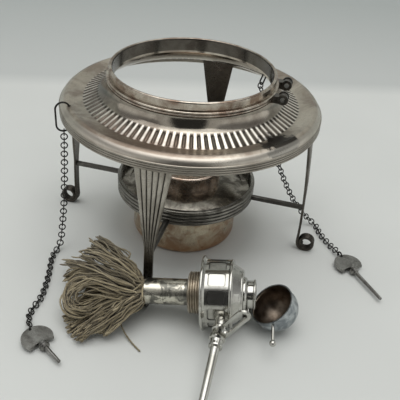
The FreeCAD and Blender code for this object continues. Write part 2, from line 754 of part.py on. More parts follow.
def make_tassel():
    """Low mound of strands spread on the surface round the end of the tube."""
    end = HEAD.multVec(V(0, 0, -TUBE_BACK - 1.0))
    sections = []
    spread = ((0.0, 6.0, 6.0, end.z), (5.0, 8.0, 7.0, end.z + 0.4), (11.0, 17.0, 10.2, end.z - 3.6),
              (20.0, 29.0, 12.4, 13.4), (32.0, 38.0, 11.2, 12.2), (45.0, 36.0, 8.0, 8.9),
              (54.0, 26.0, 5.2, 6.0), (60.0, 11.0, 2.6, 3.3))
    head = V(-1, 0, 0)
    side = V(0, 1, 0)
    rot = FreeCAD.Rotation(UP, HEAD_HEADING - 4.0)
    head = rot.multVec(head)
    side = rot.multVec(side)
    for d, half_w, half_h, z in spread:
        c = V(end.x, end.y, 0) + head * d + V(0, 0, z)
        e = Part.Ellipse(ORIGIN, half_w + 0.001, half_h)
        edge = e.toShape()
        m = FreeCAD.Matrix(side.x, 0, head.x, c.x, side.y, 0, head.y, c.y, 0, 1, 0, c.z, 0, 0, 0, 1)
        edge = edge.transformGeometry(m)
        sections.append(Part.Wire(edge))
    return Part.makeLoft(sections, True, False)


# ---- kettle hinge ----
def hinge_frame(shape):
    """Shapes drawn with the pin axis along Y at (0, 0), outward +X, set on the collar."""
    s = shape.copy()
    s.translate(V(HINGE_R, 0, HINGE_Z))
    return turned(s, HINGE_AZIMUTH)


def make_knuckle(sign):
    y0 = sign * (HINGE_GAP / 2)
    y1 = sign * (HINGE_GAP / 2 + BARREL_L)
    lo = min(y0, y1)
    barrel = Part.makeCylinder(BARREL_R - 0.5, BARREL_L, V(0, lo, 0), V(0, 1, 0))
    bead = 1.6
    beads = [Part.makeCylinder(BARREL_R, bead, V(0, lo, 0), V(0, 1, 0)),
             Part.makeCylinder(BARREL_R, bead, V(0, lo + BARREL_L - bead, 0), V(0, 1, 0))]
    foot = Part.makeBox(HINGE_R - COLLAR_R + 2.0, BARREL_L - 2.0, 5.0,
                        V(-(HINGE_R - COLLAR_R) - 2.0, lo + 1.0, -3.4))
    body = barrel.fuse(beads + [foot]).removeSplitter()
    body = body.cut(Part.makeCylinder(HINGE_BORE_R, BARREL_L + 2, V(0, lo - 1, 0), V(0, 1, 0)))
    return hinge_frame(single(body))


# ---- chains ----
def curve_points(curve, length, pitch, start=0.0):
    count = int((length - start) / pitch)
    out = []
    params = curve.discretize(Distance=0.25)
    acc = [0.0]
    for a, b in zip(params[:-1], params[1:]):
        acc.append(acc[-1] + b.sub(a).Length)
    j = 0
    for i in range(count + 1):
        s = start + i * pitch
        while j < len(acc) - 2 and acc[j + 1] < s:
            j += 1
        k = (s - acc[j]) / max(acc[j + 1] - acc[j], 1e-9)
        p = params[j] + (params[j + 1] - params[j]) * k
        out.append((p, (params[j + 1] - params[j]).normalize()))
    return out


def make_chain(points):
    """Round links threaded on a smooth run through the points, every other one on edge."""
    spline = Part.BSplineCurve()
    spline.interpolate([V(*p) for p in points])
    edge = spline.toShape()
    total = edge.Length
    count = int(round(total / LINK_PITCH))
    stations = curve_points(edge, total, total / count)
    plan = V(points[3][0] - points[0][0], points[3][1] - points[0][1], 0)
    links = []
    for i, (p, d) in enumerate(stations):
        # Where the run hangs nearly upright its sideways direction is that of the whole drop.
        if abs(d.z) < 0.85:
            side = d.cross(UP)
        else:
            side = plan.cross(UP)
            side = side - d * side.dot(d)
        side = side.normalize()
        lift = side.cross(d).normalize()
        tilt = rad(45.0) if i % 2 else rad(-45.0)
        flat = side * math.cos(tilt) + lift * math.sin(tilt)
        n = d.cross(flat).normalize()
        # A link on the surface rests on it: its lowest point can't be below zero.
        rest = LINK_R * math.sqrt(max(1.0 - n.z * n.z, 0.0)) + LINK_WIRE_R + 0.04
        c = V(p.x, p.y, max(p.z, rest))
        links.append(Part.makeTorus(LINK_R, LINK_WIRE_R, c, n))
    return links


def hook_ring():
    """Oval wire ring through the hole behind the rim and round its edge."""
    r = (HOOK_OUT_R - HOOK_IN_R) / 2
    xm = (HOOK_OUT_R + HOOK_IN_R) / 2
    zt = HOOK_TOP_Z - r
    zb = HOOK_LOW_Z + r
    edges = [Part.Arc(V(xm - r, 0, zt), V(xm, 0, HOOK_TOP_Z), V(xm + r, 0, zt)).toShape(),
             Part.makeLine(V(xm + r, 0, zt), V(xm + r, 0, zb)),
             Part.Arc(V(xm + r, 0, zb), V(xm, 0, HOOK_LOW_Z), V(xm - r, 0, zb)).toShape(),
             Part.makeLine(V(xm - r, 0, zb), V(xm - r, 0, zt))]
    half = []
    w = HOOK_WIRE_R
    half.append(Part.makeTorus(r, w, V(xm, 0, zt), V(0, 1, 0), 0, 360, 360))
    half.append(Part.makeTorus(r, w, V(xm, 0, zb), V(0, 1, 0), 0, 360, 360))
    big = Part.makeBox(4 * r, 4 * w, 4 * r, V(xm - 2 * r, -2 * w, zt - 4 * r))
    top = half[0].cut(big)
    big = Part.makeBox(4 * r, 4 * w, 4 * r, V(xm - 2 * r, -2 * w, zb))
    low = half[1].cut(big)
    bars = [Part.makeCylinder(w, zt - zb, V(xm - r, 0, zb)), Part.makeCylinder(w, zt - zb, V(xm + r, 0, zb))]
    body = top.fuse([low] + bars).removeSplitter()
    return turned(single(body), HOOK_AZIMUTH)


def staple_line():
    """Middles of the staple's feet and of its bend, drawn with +X outward."""
    under = COVE_TOP_Z - SHEET_T
    return V(STAPLE_R, 0, under), V(STAPLE_IN_R, 0, under - STAPLE_DROP)


def staple_low():
    """Middle of the wire at the lowest point of the bend."""
    top, low = staple_line()
    tip = low + low.sub(top).normalize() * STAPLE_HALF_W
    return around(STAPLE_AZIMUTH, tip.x, tip.z)


def staple():
    """Wire loop that hangs from the shelf under the collar."""
    w = STAPLE_WIRE_R
    h = STAPLE_HALF_W
    top, low = staple_line()
    under = top.z
    d = low.sub(top).normalize()
    y = V(0, h, 0)
    legs = [rod(top - d + y, low + y, w), rod(top - d - y, low - y, w)]
    n = d.cross(V(0, 1, 0)).normalize()
    bend = Part.makeTorus(h, w, low, n)
    block = Part.makeBox(20, 20, 20, V(-10, -10, 0))
    block.Placement = FreeCAD.Placement(low, FreeCAD.Rotation(UP, d * -1.0)).multiply(block.Placement)
    body = legs[0].fuse([legs[1], bend.cut(block)]).removeSplitter()
    body = body.cut(Part.makeBox(40, 40, 10, V(40, -20, under)))
    return turned(single(body), STAPLE_AZIMUTH)


# ---- locking pins ----
def pin_frame(shape, pin):
    s = shape.copy()
    s.rotate(ORIGIN, UP, pin[2])
    s.translate(V(pin[0], pin[1], PIN_HEIGHT))
    return s


def pin_hole_x():
    return -PLATE_BACK + EYE_HOLE_R + 0.6


def pin_plate():
    """Round thumb plate, hollow side to the collar, with a hole for the ring."""
    w = PLATE_W / 2
    a = V(-5.0, -w, 0)
    b = V(-5.0, w, 0)
    horn = V(-PLATE_FRONT + 1.6, w - 1.4, 0)
    far = V(-PLATE_FRONT + 1.6, -w + 1.4, 0)
    back = Part.Arc(a, V(-PLATE_BACK, 0, 0), b).toShape()
    front = Part.Arc(horn, V(-PLATE_FRONT, 0, 0), far).toShape()
    edges = [back, Part.makeLine(b, horn), front, Part.makeLine(far, a)]
    plate = Part.Face(Part.Wire(edges)).extrude(V(0, 0, PLATE_T))
    plate = plate.cut(Part.makeCylinder(EYE_HOLE_R, PLATE_T, V(pin_hole_x(), 0, 0)))
    plate.translate(V(0, 0, -PLATE_T / 2))
    return plate


def ring_spot(pin, reach):
    """Point a distance behind the plate's hole, along the ring's own heading."""
    hx = pin[0] + pin_hole_x() * math.cos(rad(pin[2]))
    hy = pin[1] + pin_hole_x() * math.sin(rad(pin[2]))
    return V(hx - reach * math.cos(rad(pin[4])), hy - reach * math.sin(rad(pin[4])), PIN_HEIGHT)


def pin_eye(pin):
    """Upright ring whose wire stands in the plate's hole."""
    across = V(-math.sin(rad(pin[4])), math.cos(rad(pin[4])), 0)
    return Part.makeTorus(EYE_R, EYE_WIRE_R, ring_spot(pin, EYE_R), across)


def chain_end(pin):
    """Way points up to the middle of the last link, threaded on the pin's ring."""
    reach = 2 * EYE_R + LINK_R - EYE_WIRE_R - LINK_WIRE_R - LINK_GAP
    return [tuple(ring_spot(pin, reach + LINK_PITCH)), tuple(ring_spot(pin, reach))]


def pin_beads():
    """Double-beaded collar between the thumb plate and the shank."""
    r = PIN_BEAD_R
    x0 = -PLATE_FRONT - 0.6
    prof = [(x0, 0), (x0, 1.6), (-2.0, 2.2), (-1.6, r - 0.3), (-1.1, r), (-0.5, r), (0.0, r - 0.5),
            (0.3, r - 0.5), (0.7, r), (1.4, r), (1.9, r - 0.4), (2.6, 2.0), (2.6, 0)]
    pts = [V(x, 0, z) for x, z in prof]
    s = Part.Face(Part.makePolygon(pts + [pts[0]])).revolve(ORIGIN, V(1, 0, 0), 360)
    return s, 2.6


def pin_shank(x0, x1):
    end = x1 - SHANK_TIP_R
    body = Part.makeCone(SHANK_R, SHANK_TIP_R, end - x0, V(x0, 0, 0), V(1, 0, 0))
    tip = Part.makeSphere(SHANK_TIP_R + 0.02, V(end, 0, 0))
    return body.fuse(tip).removeSplitter()


def save_pin(side, pin):
    beads, end = pin_beads()
    plate = single(pin_plate().cut(beads))
    save("pin_%s_thumb_plate" % side, pin_frame(plate, pin))
    save("pin_%s_collar" % side, pin_frame(beads, pin))
    save("pin_%s_shank" % side, pin_frame(pin_shank(end, pin[3]), pin))
    save("pin_%s_ring" % side, pin_eye(pin))


def make_stand():
    sheet = make_sheet()
    save("top_sheet", sheet)
    save("rim_moulding", make_rim())
    base = make_base_reeds()
    collar = make_collar()
    ring = make_lamp_ring()
    leg = make_leg()
    arm = single(make_arm().cut([ring, leg]))
    for name, azimuth in zip(LEG_NAMES, LEG_AZIMUTHS):
        save("leg_" + name, turned(leg, azimuth))
        save("stretcher_" + name, turned(arm, azimuth))
    save("lamp_ring", ring)
    save("collar_band", collar)
    knuckles = {}
    for name, sign in (("front", -1), ("back", 1)):
        knuckles[name] = single(make_knuckle(sign).cut([collar, base, sheet]))
        save("kettle_knuckle_" + name, knuckles[name])
    save("collar_base_reeds", base)
    save("chain_hook_ring", hook_ring())
    save("chain_staple", staple())


def make_lamp():
    save("font_body", make_font_body())
    save("font_shoulder", make_font_shoulder())
    save("font_neck", make_font_neck())


def make_head():
    save("wick_tube", lay(tube(TUBE_R, TUBE_R - TUBE_T, -TUBE_BACK, CROWN_TOP)))
    save("screw_collar", lay(make_thread_collar()))
    save("burner_flange", lay(make_burner_flange()))
    root = make_handle_root()
    save("burner_drum", lay(single(make_drum().cut(root))))
    save("drum_bead", lay(make_drum_bead()))
    crown = make_crown()
    lugs = make_lugs()
    bore = pivot_cylinder(PIVOT_PIN_R, -LUG_Y - LUG_T, LUG_Y + LUG_T)
    bead = make_drum_bead()
    ears = [single(g.cut([crown, bead, bore])) for g in lugs]
    save("burner_crown", lay(crown))
    save("pivot_lugs", lay(Part.makeCompound(ears)))
    save("pivot_pin", lay(make_pivot_pin()))
    save("mouth_tube", lay(make_mouth_tube()))
    save("handle_root", lay(root))
    save("slotted_lever", lay(make_lever()))
    save("handle_socket", lay(make_handle_socket()))
    save("handle_rod", lay(make_handle_rod()))
    save("handle_finial", lay(make_finial()))
    save("snuffer_cap", lay(cap_swing(make_cap())))
    save("snuffer_knuckle", lay(cap_swing(make_cap_knuckle())))
    save("snuffer_knob", lay(cap_swing(make_cap_knob())))
    wick = lay(make_wick()).fuse(make_tassel()).removeSplitter()
    save("wick", single(wick))


def make_chains():
    hang = LINK_R - LINK_WIRE_R - LINK_GAP
    a = around(HOOK_AZIMUTH, (HOOK_IN_R + HOOK_OUT_R) / 2, HOOK_LOW_Z - hang + HOOK_WIRE_R)
    z = LINK_R * math.sqrt(0.5) + LINK_WIRE_R + 0.04
    foot = LEFT_FLOOR[0]
    drop = []
    for k, h in ((0.0, a.z), (0.12, 72.0), (0.35, 38.0), (0.62, 15.0), (0.82, 5.5)):
        drop.append((a.x + (foot[0] - a.x) * k, a.y + (foot[1] - a.y) * k, h))
    run = drop + [(x, y, z) for x, y in LEFT_FLOOR] + chain_end(LEFT_PIN)
    save("chain_left", Part.makeCompound(make_chain(run)))
    b = staple_low()
    foot = RIGHT_FLOOR[0]
    top = b.z - hang + STAPLE_WIRE_R
    drop = []
    for k in (0.0, 0.16, 0.34, 0.52, 0.70, 0.86):
        s = 1.0 - 0.88 * k
        drop.append((b.x + (foot[0] - b.x) * k, b.y + (foot[1] - b.y) * k, z + (top - z) * s * s))
    run = drop + [(x, y, z) for x, y in RIGHT_FLOOR] + chain_end(RIGHT_PIN)
    save("chain_right", Part.makeCompound(make_chain(run)))


os.makedirs("parts", exist_ok=True)
make_stand()
make_lamp()
make_head()
make_chains()
save_pin("left", LEFT_PIN)
save_pin("right", RIGHT_PIN)
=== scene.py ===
import json
import math
import bpy
import numpy as np
from mathutils import Matrix, Vector


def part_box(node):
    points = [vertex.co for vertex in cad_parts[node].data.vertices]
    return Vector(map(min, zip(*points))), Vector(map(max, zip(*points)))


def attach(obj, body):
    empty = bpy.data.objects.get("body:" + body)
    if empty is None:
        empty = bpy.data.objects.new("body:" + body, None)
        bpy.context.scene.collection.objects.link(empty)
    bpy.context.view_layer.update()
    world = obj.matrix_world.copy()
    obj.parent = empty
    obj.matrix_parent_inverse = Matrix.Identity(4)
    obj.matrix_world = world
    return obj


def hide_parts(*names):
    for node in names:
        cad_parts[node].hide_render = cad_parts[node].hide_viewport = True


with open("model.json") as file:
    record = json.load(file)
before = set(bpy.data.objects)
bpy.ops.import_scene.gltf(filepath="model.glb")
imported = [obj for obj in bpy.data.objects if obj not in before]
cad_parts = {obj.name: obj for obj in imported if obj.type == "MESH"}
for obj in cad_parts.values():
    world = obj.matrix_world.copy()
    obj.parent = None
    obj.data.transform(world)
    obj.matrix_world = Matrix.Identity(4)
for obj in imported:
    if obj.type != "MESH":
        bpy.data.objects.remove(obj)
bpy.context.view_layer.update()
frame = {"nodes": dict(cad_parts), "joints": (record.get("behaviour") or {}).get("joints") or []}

nodes = frame["nodes"]
print("stage 1: frame loaded,", len(nodes), "nodes")

mmPerM = 1000.0                        # the frame is in metres, the sizes below are in millimetres
mixing = {"data_type": "RGBA"}         # settings that many nodes share
times = {"operation": "MULTIPLY"}
upward = np.array([0.0, 0.0, 1.0])


# small helpers

def hexColour(text):
    # sRGB hex to the linear values that a shader wants, by the standard curve: a line, then a power
    part = [int(text[i:i + 2], 16) / 255.0 for i in (1, 3, 5)]
    return tuple(c / 12.92 if c <= 0.04045 else ((c + 0.055) / 1.055) ** 2.4 for c in part) + (1.0,)


def addNode(tree, kind, settings=None, links=None):
    # Adds a node. links maps an input's name, or its number where names repeat, to a value, a socket
    # or a node, and a node stands for the first of its outputs that its settings leave in use.
    node = tree.nodes.new(kind)
    for name, value in (settings or {}).items():
        setattr(node, name, value)
    for key, value in (links or {}).items():
        if isinstance(key, int):
            socket = node.inputs[key]
        else:
            socket = next(s for s in node.inputs if s.enabled and s.name == key)
        if isinstance(value, bpy.types.Node):
            value = next(s for s in value.outputs if s.enabled)
        if isinstance(value, bpy.types.NodeSocket):
            tree.links.new(value, socket)
        else:
            socket.default_value = value
    return node


def layered(tree, colour, layers):
    # lays each (mask, tint) over the colour in turn
    for mask, tint in layers:
        colour = addNode(tree, "ShaderNodeMix", mixing, {"Factor": mask, "A": colour, "B": tint})
    return colour


def newMaterial(name):
    mat = bpy.data.materials.new(name)
    mat.use_nodes = True
    mat.node_tree.nodes.clear()
    obj = addNode(mat.node_tree, "ShaderNodeTexCoord").outputs["Object"]
    return mat, mat.node_tree, obj


def finish(tree, shader):
    addNode(tree, "ShaderNodeOutputMaterial", None, {"Surface": shader})


def perMm(size):
    # noise scale whose features are about this many millimetres
    return mmPerM / size


def giveMaterial(mat, *names):
    for name in names:
        for slot in nodes[name].material_slots:
            slot.material = mat


def gridCells(rows, cols):
    # point numbers of a rows x columns grid, the same moved one column on with the last joined to the
    # first, and the four corners of every cell
    index = np.arange(rows * cols).reshape(rows, cols)
    aside = np.roll(index, -1, axis=1)
    return index, aside, np.stack([index[:-1], aside[:-1], aside[1:], index[1:]], axis=2)


def smoothMesh(name, verts, faces):
    mesh = bpy.data.meshes.new(name)
    mesh.from_pydata(verts.reshape(-1, 3).tolist(), [], faces)
    mesh.polygons.foreach_set("use_smooth", np.ones(len(mesh.polygons), bool))
    mesh.update()
    return mesh


def tubesMesh(name, grids):
    # grids is tubes x rows x columns x 3. Each tube is its rows of points joined round and along, with
    # both ends closed by a fan to the middle of the end row. One mesh holds them all.
    count, rows, cols = grids.shape[:3]
    ends = grids[:, (0, -1)].mean(axis=2)
    verts = np.concatenate([grids.reshape(count, -1, 3), ends], axis=1)
    index, aside, quads = gridCells(rows, cols)
    first = np.stack([np.full(cols, rows * cols), aside[0], index[0]], 1)
    last = np.stack([np.full(cols, rows * cols + 1), index[-1], aside[-1]], 1)
    shift = (np.arange(count) * verts.shape[1])[:, None, None]
    faces = (quads.reshape(-1, 4)[None] + shift).reshape(-1, 4).tolist()
    for fan in (first, last):
        faces += (fan[None] + shift).reshape(-1, 3).tolist()
    return smoothMesh(name, verts, faces)


def addPiece(name, mesh, mat, body):
    piece = bpy.data.objects.new(name, mesh)
    bpy.context.scene.collection.objects.link(piece)
    piece.data.materials.append(mat)
    if body:
        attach(piece, body)
    return piece


# metals

def axisDistance(tree, obj):
    # how far a point lies from the stand's upright axis
    xyz = addNode(tree, "ShaderNodeSeparateXYZ", None, {0: obj})
    flat = addNode(tree, "ShaderNodeCombineXYZ", None, {"X": xyz.outputs[0], "Y": xyz.outputs[1]})
    return addNode(tree, "ShaderNodeVectorMath", {"operation": "LENGTH"}, {0: flat})


def axisAngle(tree, obj):
    xyz = addNode(tree, "ShaderNodeSeparateXYZ", None, {0: obj})
    return addNode(tree, "ShaderNodeMath", {"operation": "ARCTAN2"}, {0: xyz.outputs[1], 1: xyz.outputs[0]})


def spunCoordinates(tree, obj, ringMm, roundStretch=0.9):
    # distance from the axis and height run fine, the angle runs coarse: lathe and polishing lines,
    # rings ringMm wide that wander roundStretch times per radian
    height = addNode(tree, "ShaderNodeSeparateXYZ", None, {0: obj}).outputs[2]
    return addNode(tree, "ShaderNodeCombineXYZ", None, {
        "X": addNode(tree, "ShaderNodeMath", times, {0: axisDistance(tree, obj), 1: perMm(ringMm)}),
        "Y": addNode(tree, "ShaderNodeMath", times, {0: axisAngle(tree, obj), 1: roundStretch}),
        "Z": addNode(tree, "ShaderNodeMath", times, {0: height, 1: perMm(ringMm)})})


# What a look doesn't say itself, in millimetres. Real wiping scratches are hairlines, and lathe rings lie
# about 0.2 mm apart: both are drawn several times as coarse, so that they show.
plateBase = {"fleck": 0.35, "fleckMm": 2.2, "fleckSteps": (0.58, 0.70),
             "tarnishAndShade": 0.8, "tarnishAndShadeSteps": (0.35, 0.85), "tarnishAndShadeRough": 0.25, "hollowRays": 6,
             "scratchMm": 3.0, "scratchSteps": (0.3, 0.7),
             "wipeTurn": (0.5, 0.3, 0.9), "wipeStretch": (1.0, 9.0, 5.0),
             "filmRough": 0.08, "bump": 0.12, "bumpDeepMm": 0.2, "dent": 0.25, "dentMm": 22.0, "dentDeepMm": 1.5,
             "spun": None, "polishedTo": None, "polishEdgeMm": 1.0, "zones": []}


def silverPlate(name, look):
    # Old silver plate: a clean metal colour, a warm tarnish film in soft patches, darkness in the hollows from an
    # occlusion mask, partly sulphide where a cloth doesn't reach and partly painted shade, and fine wiping
    # scratches that spread the reflection.
    look = dict(plateBase, **look)
    mat, tree, obj = newMaterial(name)
    dark = hexColour(look["dark"])

    patch = addNode(tree, "ShaderNodeTexNoise", None,
                    {"Vector": obj, "Scale": perMm(look["patchMm"]), "Detail": 5.0, "Roughness": 0.62,
                     "Distortion": 0.6})
    film = addNode(tree, "ShaderNodeMapRange", None,
                   {0: patch, 1: 0.5 - look["patchEdge"], 2: 0.5 + look["patchEdge"]})
    fleck = addNode(tree, "ShaderNodeTexNoise", None,
                    {"Vector": obj, "Scale": perMm(look["fleckMm"]), "Detail": 6.0, "Roughness": 0.7})
    flecks = addNode(tree, "ShaderNodeMapRange", None,
                     {0: fleck, 1: look["fleckSteps"][0], 2: look["fleckSteps"][1], 4: look["fleck"]})
    # painted shade with some sulphide: the occlusion mask darkens the metal in its hollows and creases
    hollow = addNode(tree, "ShaderNodeAmbientOcclusion", {"samples": look["hollowRays"], "only_local": True},
                     {"Distance": look["tarnishAndShadeMm"] / mmPerM})
    tarnishAndShade = addNode(tree, "ShaderNodeMapRange", None,
                    {0: hollow.outputs["AO"], 1: look["tarnishAndShadeSteps"][0], 2: look["tarnishAndShadeSteps"][1],
                     3: look["tarnishAndShade"], 4: 0.0})
    layers = [(film, hexColour(look["film"])), (flecks, dark), (tarnishAndShade, dark)]
    for zone in look["zones"]:
        layers += zone(tree, obj)
    colour = layered(tree, hexColour(look["clean"]), layers)

    wipe = addNode(tree, "ShaderNodeMapping", None,
                   {"Vector": obj, "Rotation": look["wipeTurn"], "Scale": look["wipeStretch"]})
    scratch = addNode(tree, "ShaderNodeTexNoise", None,
                      {"Vector": wipe, "Scale": perMm(look["scratchMm"]), "Detail": 8.0, "Roughness": 0.75})
    rough = addNode(tree, "ShaderNodeMapRange", None,
                    {0: scratch, 1: look["scratchSteps"][0], 2: look["scratchSteps"][1],
                     3: look["rough"][0], 4: look["rough"][1]})
    for mask, more in ((film, look["filmRough"]), (tarnishAndShade, look["tarnishAndShadeRough"])):
        rough = addNode(tree, "ShaderNodeMath", {"operation": "MULTIPLY_ADD", "use_clamp": True},
                        {0: mask, 1: more, 2: rough})
    if look["polishedTo"]:
        # inside this distance from the axis the metal is still bright, so its roughness drops
        edge, soft = look["polishedTo"], look["polishEdgeMm"]
        bright = addNode(tree, "ShaderNodeMapRange", None,
                         {0: axisDistance(tree, obj), 1: (edge - soft) / mmPerM, 2: (edge + soft) / mmPerM,
                          3: look["polish"]})
        rough = addNode(tree, "ShaderNodeMath", times, {0: rough, 1: bright})

    height = scratch
    if look["spun"]:
        rings = addNode(tree, "ShaderNodeTexNoise", None,
                        {"Vector": spunCoordinates(tree, obj, look["spun"]), "Scale": 1.0, "Detail": 3.0})
        height = addNode(tree, "ShaderNodeMath", {"operation": "ADD"}, {0: rings, 1: scratch})
    lines = addNode(tree, "ShaderNodeBump", None,
                    {"Height": height, "Strength": look["bump"], "Distance": look["bumpDeepMm"] / mmPerM})
    dent = addNode(tree, "ShaderNodeTexNoise", None,
                   {"Vector": obj, "Scale": perMm(look["dentMm"]), "Detail": 1.0})
    dents = addNode(tree, "ShaderNodeBump", None,
                    {"Height": dent, "Strength": look["dent"], "Distance": look["dentDeepMm"] / mmPerM,
                     "Normal": lines})
    finish(tree, addNode(tree, "ShaderNodeBsdfPrincipled", None,
                         {"Base Color": colour, "Metallic": 1.0, "Roughness": rough, "Normal": dents}))
    return mat


# Zones are the marks of use on one piece. Each maker below gives a function that adds its nodes and
# returns (mask, tint) layers; distances are in millimetres, amount is how far the tint covers.

def ringMask(tree, obj, low, high, soft):
    # 1 between two distances from the stand's axis, with soft edges
    radius = axisDistance(tree, obj)
    inner = addNode(tree, "ShaderNodeMapRange", None,
                    {0: radius, 1: (low - soft) / mmPerM, 2: (low + soft) / mmPerM})
    outer = addNode(tree, "ShaderNodeMapRange", None,
                    {0: radius, 1: (high - soft) / mmPerM, 2: (high + soft) / mmPerM, 3: 1.0, 4: 0.0})
    return addNode(tree, "ShaderNodeMath", times, {0: inner, 1: outer})


def radialBand(low, high, soft, colourHex, amount):
    # tints a ring round the stand's axis
    def zone(tree, obj):
        band = ringMask(tree, obj, low, high, soft)
        return [(addNode(tree, "ShaderNodeMath", times, {0: band, 1: amount}), hexColour(colourHex))]
    return zone


def fluteShadeAndHighlight(count, low, high, grooveHex, ribHighlightHex, amount):
    # painted shade, partly sulphide, down each groove and a painted highlight on each rib, inside the ring low
    # to high: both masks are steps of cos(count x angle), which is 1 in the middle of a groove and -1 on a rib
    grooveSteps, ribSteps, ribHighlight, soft = (-0.45, 0.25), (-0.85, -0.45), 0.85, 0.5

    def zone(tree, obj):
        turn = addNode(tree, "ShaderNodeMath", times, {0: axisAngle(tree, obj), 1: float(count)})
        wave = addNode(tree, "ShaderNodeMath", {"operation": "COSINE"}, {0: turn})
        groove = addNode(tree, "ShaderNodeMapRange", None, {0: wave, 1: grooveSteps[0], 2: grooveSteps[1]})
        rib = addNode(tree, "ShaderNodeMapRange", None,
                      {0: wave, 1: ribSteps[0], 2: ribSteps[1], 3: ribHighlight, 4: 0.0})
        band = ringMask(tree, obj, low, high, soft)
        # painted highlight along the middle of each rib
        light = addNode(tree, "ShaderNodeMath", times, {0: band, 1: rib})
        # painted shade, partly sulphide, down each groove
        shade = addNode(tree, "ShaderNodeMath", times, {0: band, 1: groove})
        shade = addNode(tree, "ShaderNodeMath", times, {0: shade, 1: amount})
        return [(light, hexColour(ribHighlightHex)), (shade, hexColour(grooveHex))]
    return zone


def stain(middleMm, sizeMm, colourHex, amount, soft=0.14):
    # a blot with a ragged edge: the distance to its middle, in its own sizes, plus noise of about half
    # of raggedBy, goes from full to none round edgeAt
    raggedMm, raggedBy, edgeAt = 5.0, 1.6, 1.76

    def zone(tree, obj):
        away = addNode(tree, "ShaderNodeVectorMath", {"operation": "SUBTRACT"},
                       {0: obj, 1: [c / mmPerM for c in middleMm]})
        scaled = addNode(tree, "ShaderNodeVectorMath", {"operation": "DIVIDE"},
                         {0: away, 1: [c / mmPerM for c in sizeMm]})
        far = addNode(tree, "ShaderNodeVectorMath", {"operation": "LENGTH"}, {0: scaled})
        ragged = addNode(tree, "ShaderNodeTexNoise", None,
                         {"Vector": obj, "Scale": perMm(raggedMm), "Detail": 4.0})
        edge = addNode(tree, "ShaderNodeMath", {"operation": "MULTIPLY_ADD"}, {0: ragged, 1: raggedBy, 2: far})
        mask = addNode(tree, "ShaderNodeMapRange", None,
                       {0: edge, 1: edgeAt - soft, 2: edgeAt + soft, 3: amount, 4: 0.0})
        return [(mask, hexColour(colourHex))]
    return zone


def heightFade(low, high, colourHex, amount):
    # full below low, gone above high, over the table
    def zone(tree, obj):
        tall = addNode(tree, "ShaderNodeSeparateXYZ", None, {0: obj}).outputs[2]
        mask = addNode(tree, "ShaderNodeMapRange", None,
                       {0: tall, 1: low / mmPerM, 2: high / mmPerM, 3: amount, 4: 0.0})
        return [(mask, hexColour(colourHex))]
    return zone


def insideCap(sootHex, ashHex, amount):
    # soot with paler ash on the hollow side, which faces the cap's middle: there the surface's normal
    # and the way out from the middle point against each other
    low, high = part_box("snuffer_cap")
    middle = [(a + b) / 2.0 for a, b in zip(low, high)]
    spotMm, spotSteps, turnSteps = 7.0, (0.35, 0.65), (-0.15, 0.15)

    def zone(tree, obj):
        normal = addNode(tree, "ShaderNodeTexCoord").outputs["Normal"]
        away = addNode(tree, "ShaderNodeVectorMath", {"operation": "SUBTRACT"}, {0: obj, 1: middle})
        way = addNode(tree, "ShaderNodeVectorMath", {"operation": "NORMALIZE"}, {0: away})
        facing = addNode(tree, "ShaderNodeVectorMath", {"operation": "DOT_PRODUCT"}, {0: way, 1: normal})
        spots = addNode(tree, "ShaderNodeTexNoise", None, {"Vector": obj, "Scale": perMm(spotMm), "Detail": 5.0})
        ash = addNode(tree, "ShaderNodeMapRange", None, {0: spots, 1: spotSteps[0], 2: spotSteps[1]})
        soot = layered(tree, hexColour(sootHex), [(ash, hexColour(ashHex))])
        mask = addNode(tree, "ShaderNodeMapRange", None,
                       {0: facing, 1: turnSteps[0], 2: turnSteps[1], 3: amount, 4: 0.0})
        return [(mask, soot)]
    return zone


# Spun sheet: faint lathe rings, a warm cloudy film, painted shade with some sulphide down the flutes and a
# painted highlight on each rib between them, brown and grey blots on the flange, and a burnt spot beside the
# right leg.
topLook = {"clean": "#c6beb0", "film": "#94897d", "dark": "#35322e", "patchMm": 26.0, "patchEdge": 0.12,
           "tarnishAndShadeMm": 2.2, "tarnishAndShade": 0.85, "rough": (0.22, 0.36), "filmRough": 0.10, "spun": 0.7, "bump": 0.10,
           "fleck": 0.35, "polishedTo": 67.0, "polish": 0.35,
           "zones": [radialBand(60.5, 66.2, 0.8, "#7a746c", 0.35),
                     fluteShadeAndHighlight(96, 66.4, 78.0, "#2c2823", "#efebe3", 0.92),
                     stain((-4.0, -87.0, 115.0), (62.0, 16.0, 14.0), "#7d6c60", 0.72, 0.5),
                     stain((-58.0, -24.0, 124.0), (13.0, 50.0, 12.0), "#55514b", 0.75, 0.5),
                     stain((-50.0, -70.0, 115.0), (20.0, 13.0, 12.0), "#84766a", 0.5, 0.4),
                     stain((73.0, -49.0, 115.0), (14.0, 14.0, 12.0), "#1f1c19", 0.95, 0.12),
                     radialBand(91.2, 94.2, 0.5, "#e0dbd0", 0.5)]}
giveMaterial(silverPlate("spunSilverPlateTarnished", topLook), "top_sheet")

# Reeded wire soldered round the edge: rubbed tops, black lines between the reeds, partly tarnish and partly
# painted shade.
rimLook = {"clean": "#aca69b", "film": "#8a847a", "dark": "#2c2a27", "patchMm": 26.0, "patchEdge": 0.2,
           "tarnishAndShadeMm": 1.3, "tarnishAndShade": 0.9, "rough": (0.22, 0.36), "spun": 0.6}
giveMaterial(silverPlate("reededSilverPlateRim", rimLook), "rim_moulding")

# Turned collar: bright with brown patches outside, dull and dark within.
collarLook = {"clean": "#c3bbae", "film": "#8c7a6c", "dark": "#3a352e", "patchMm": 13.0, "patchEdge": 0.10,
              "tarnishAndShadeMm": 1.2, "tarnishAndShade": 0.8, "rough": (0.10, 0.22), "spun": 0.6,
              "zones": [radialBand(0.0, 57.5, 0.3, "#4d4a45", 0.9)]}
giveMaterial(silverPlate("turnedSilverPlateCollar", collarLook), "collar_band", "collar_base_reeds")

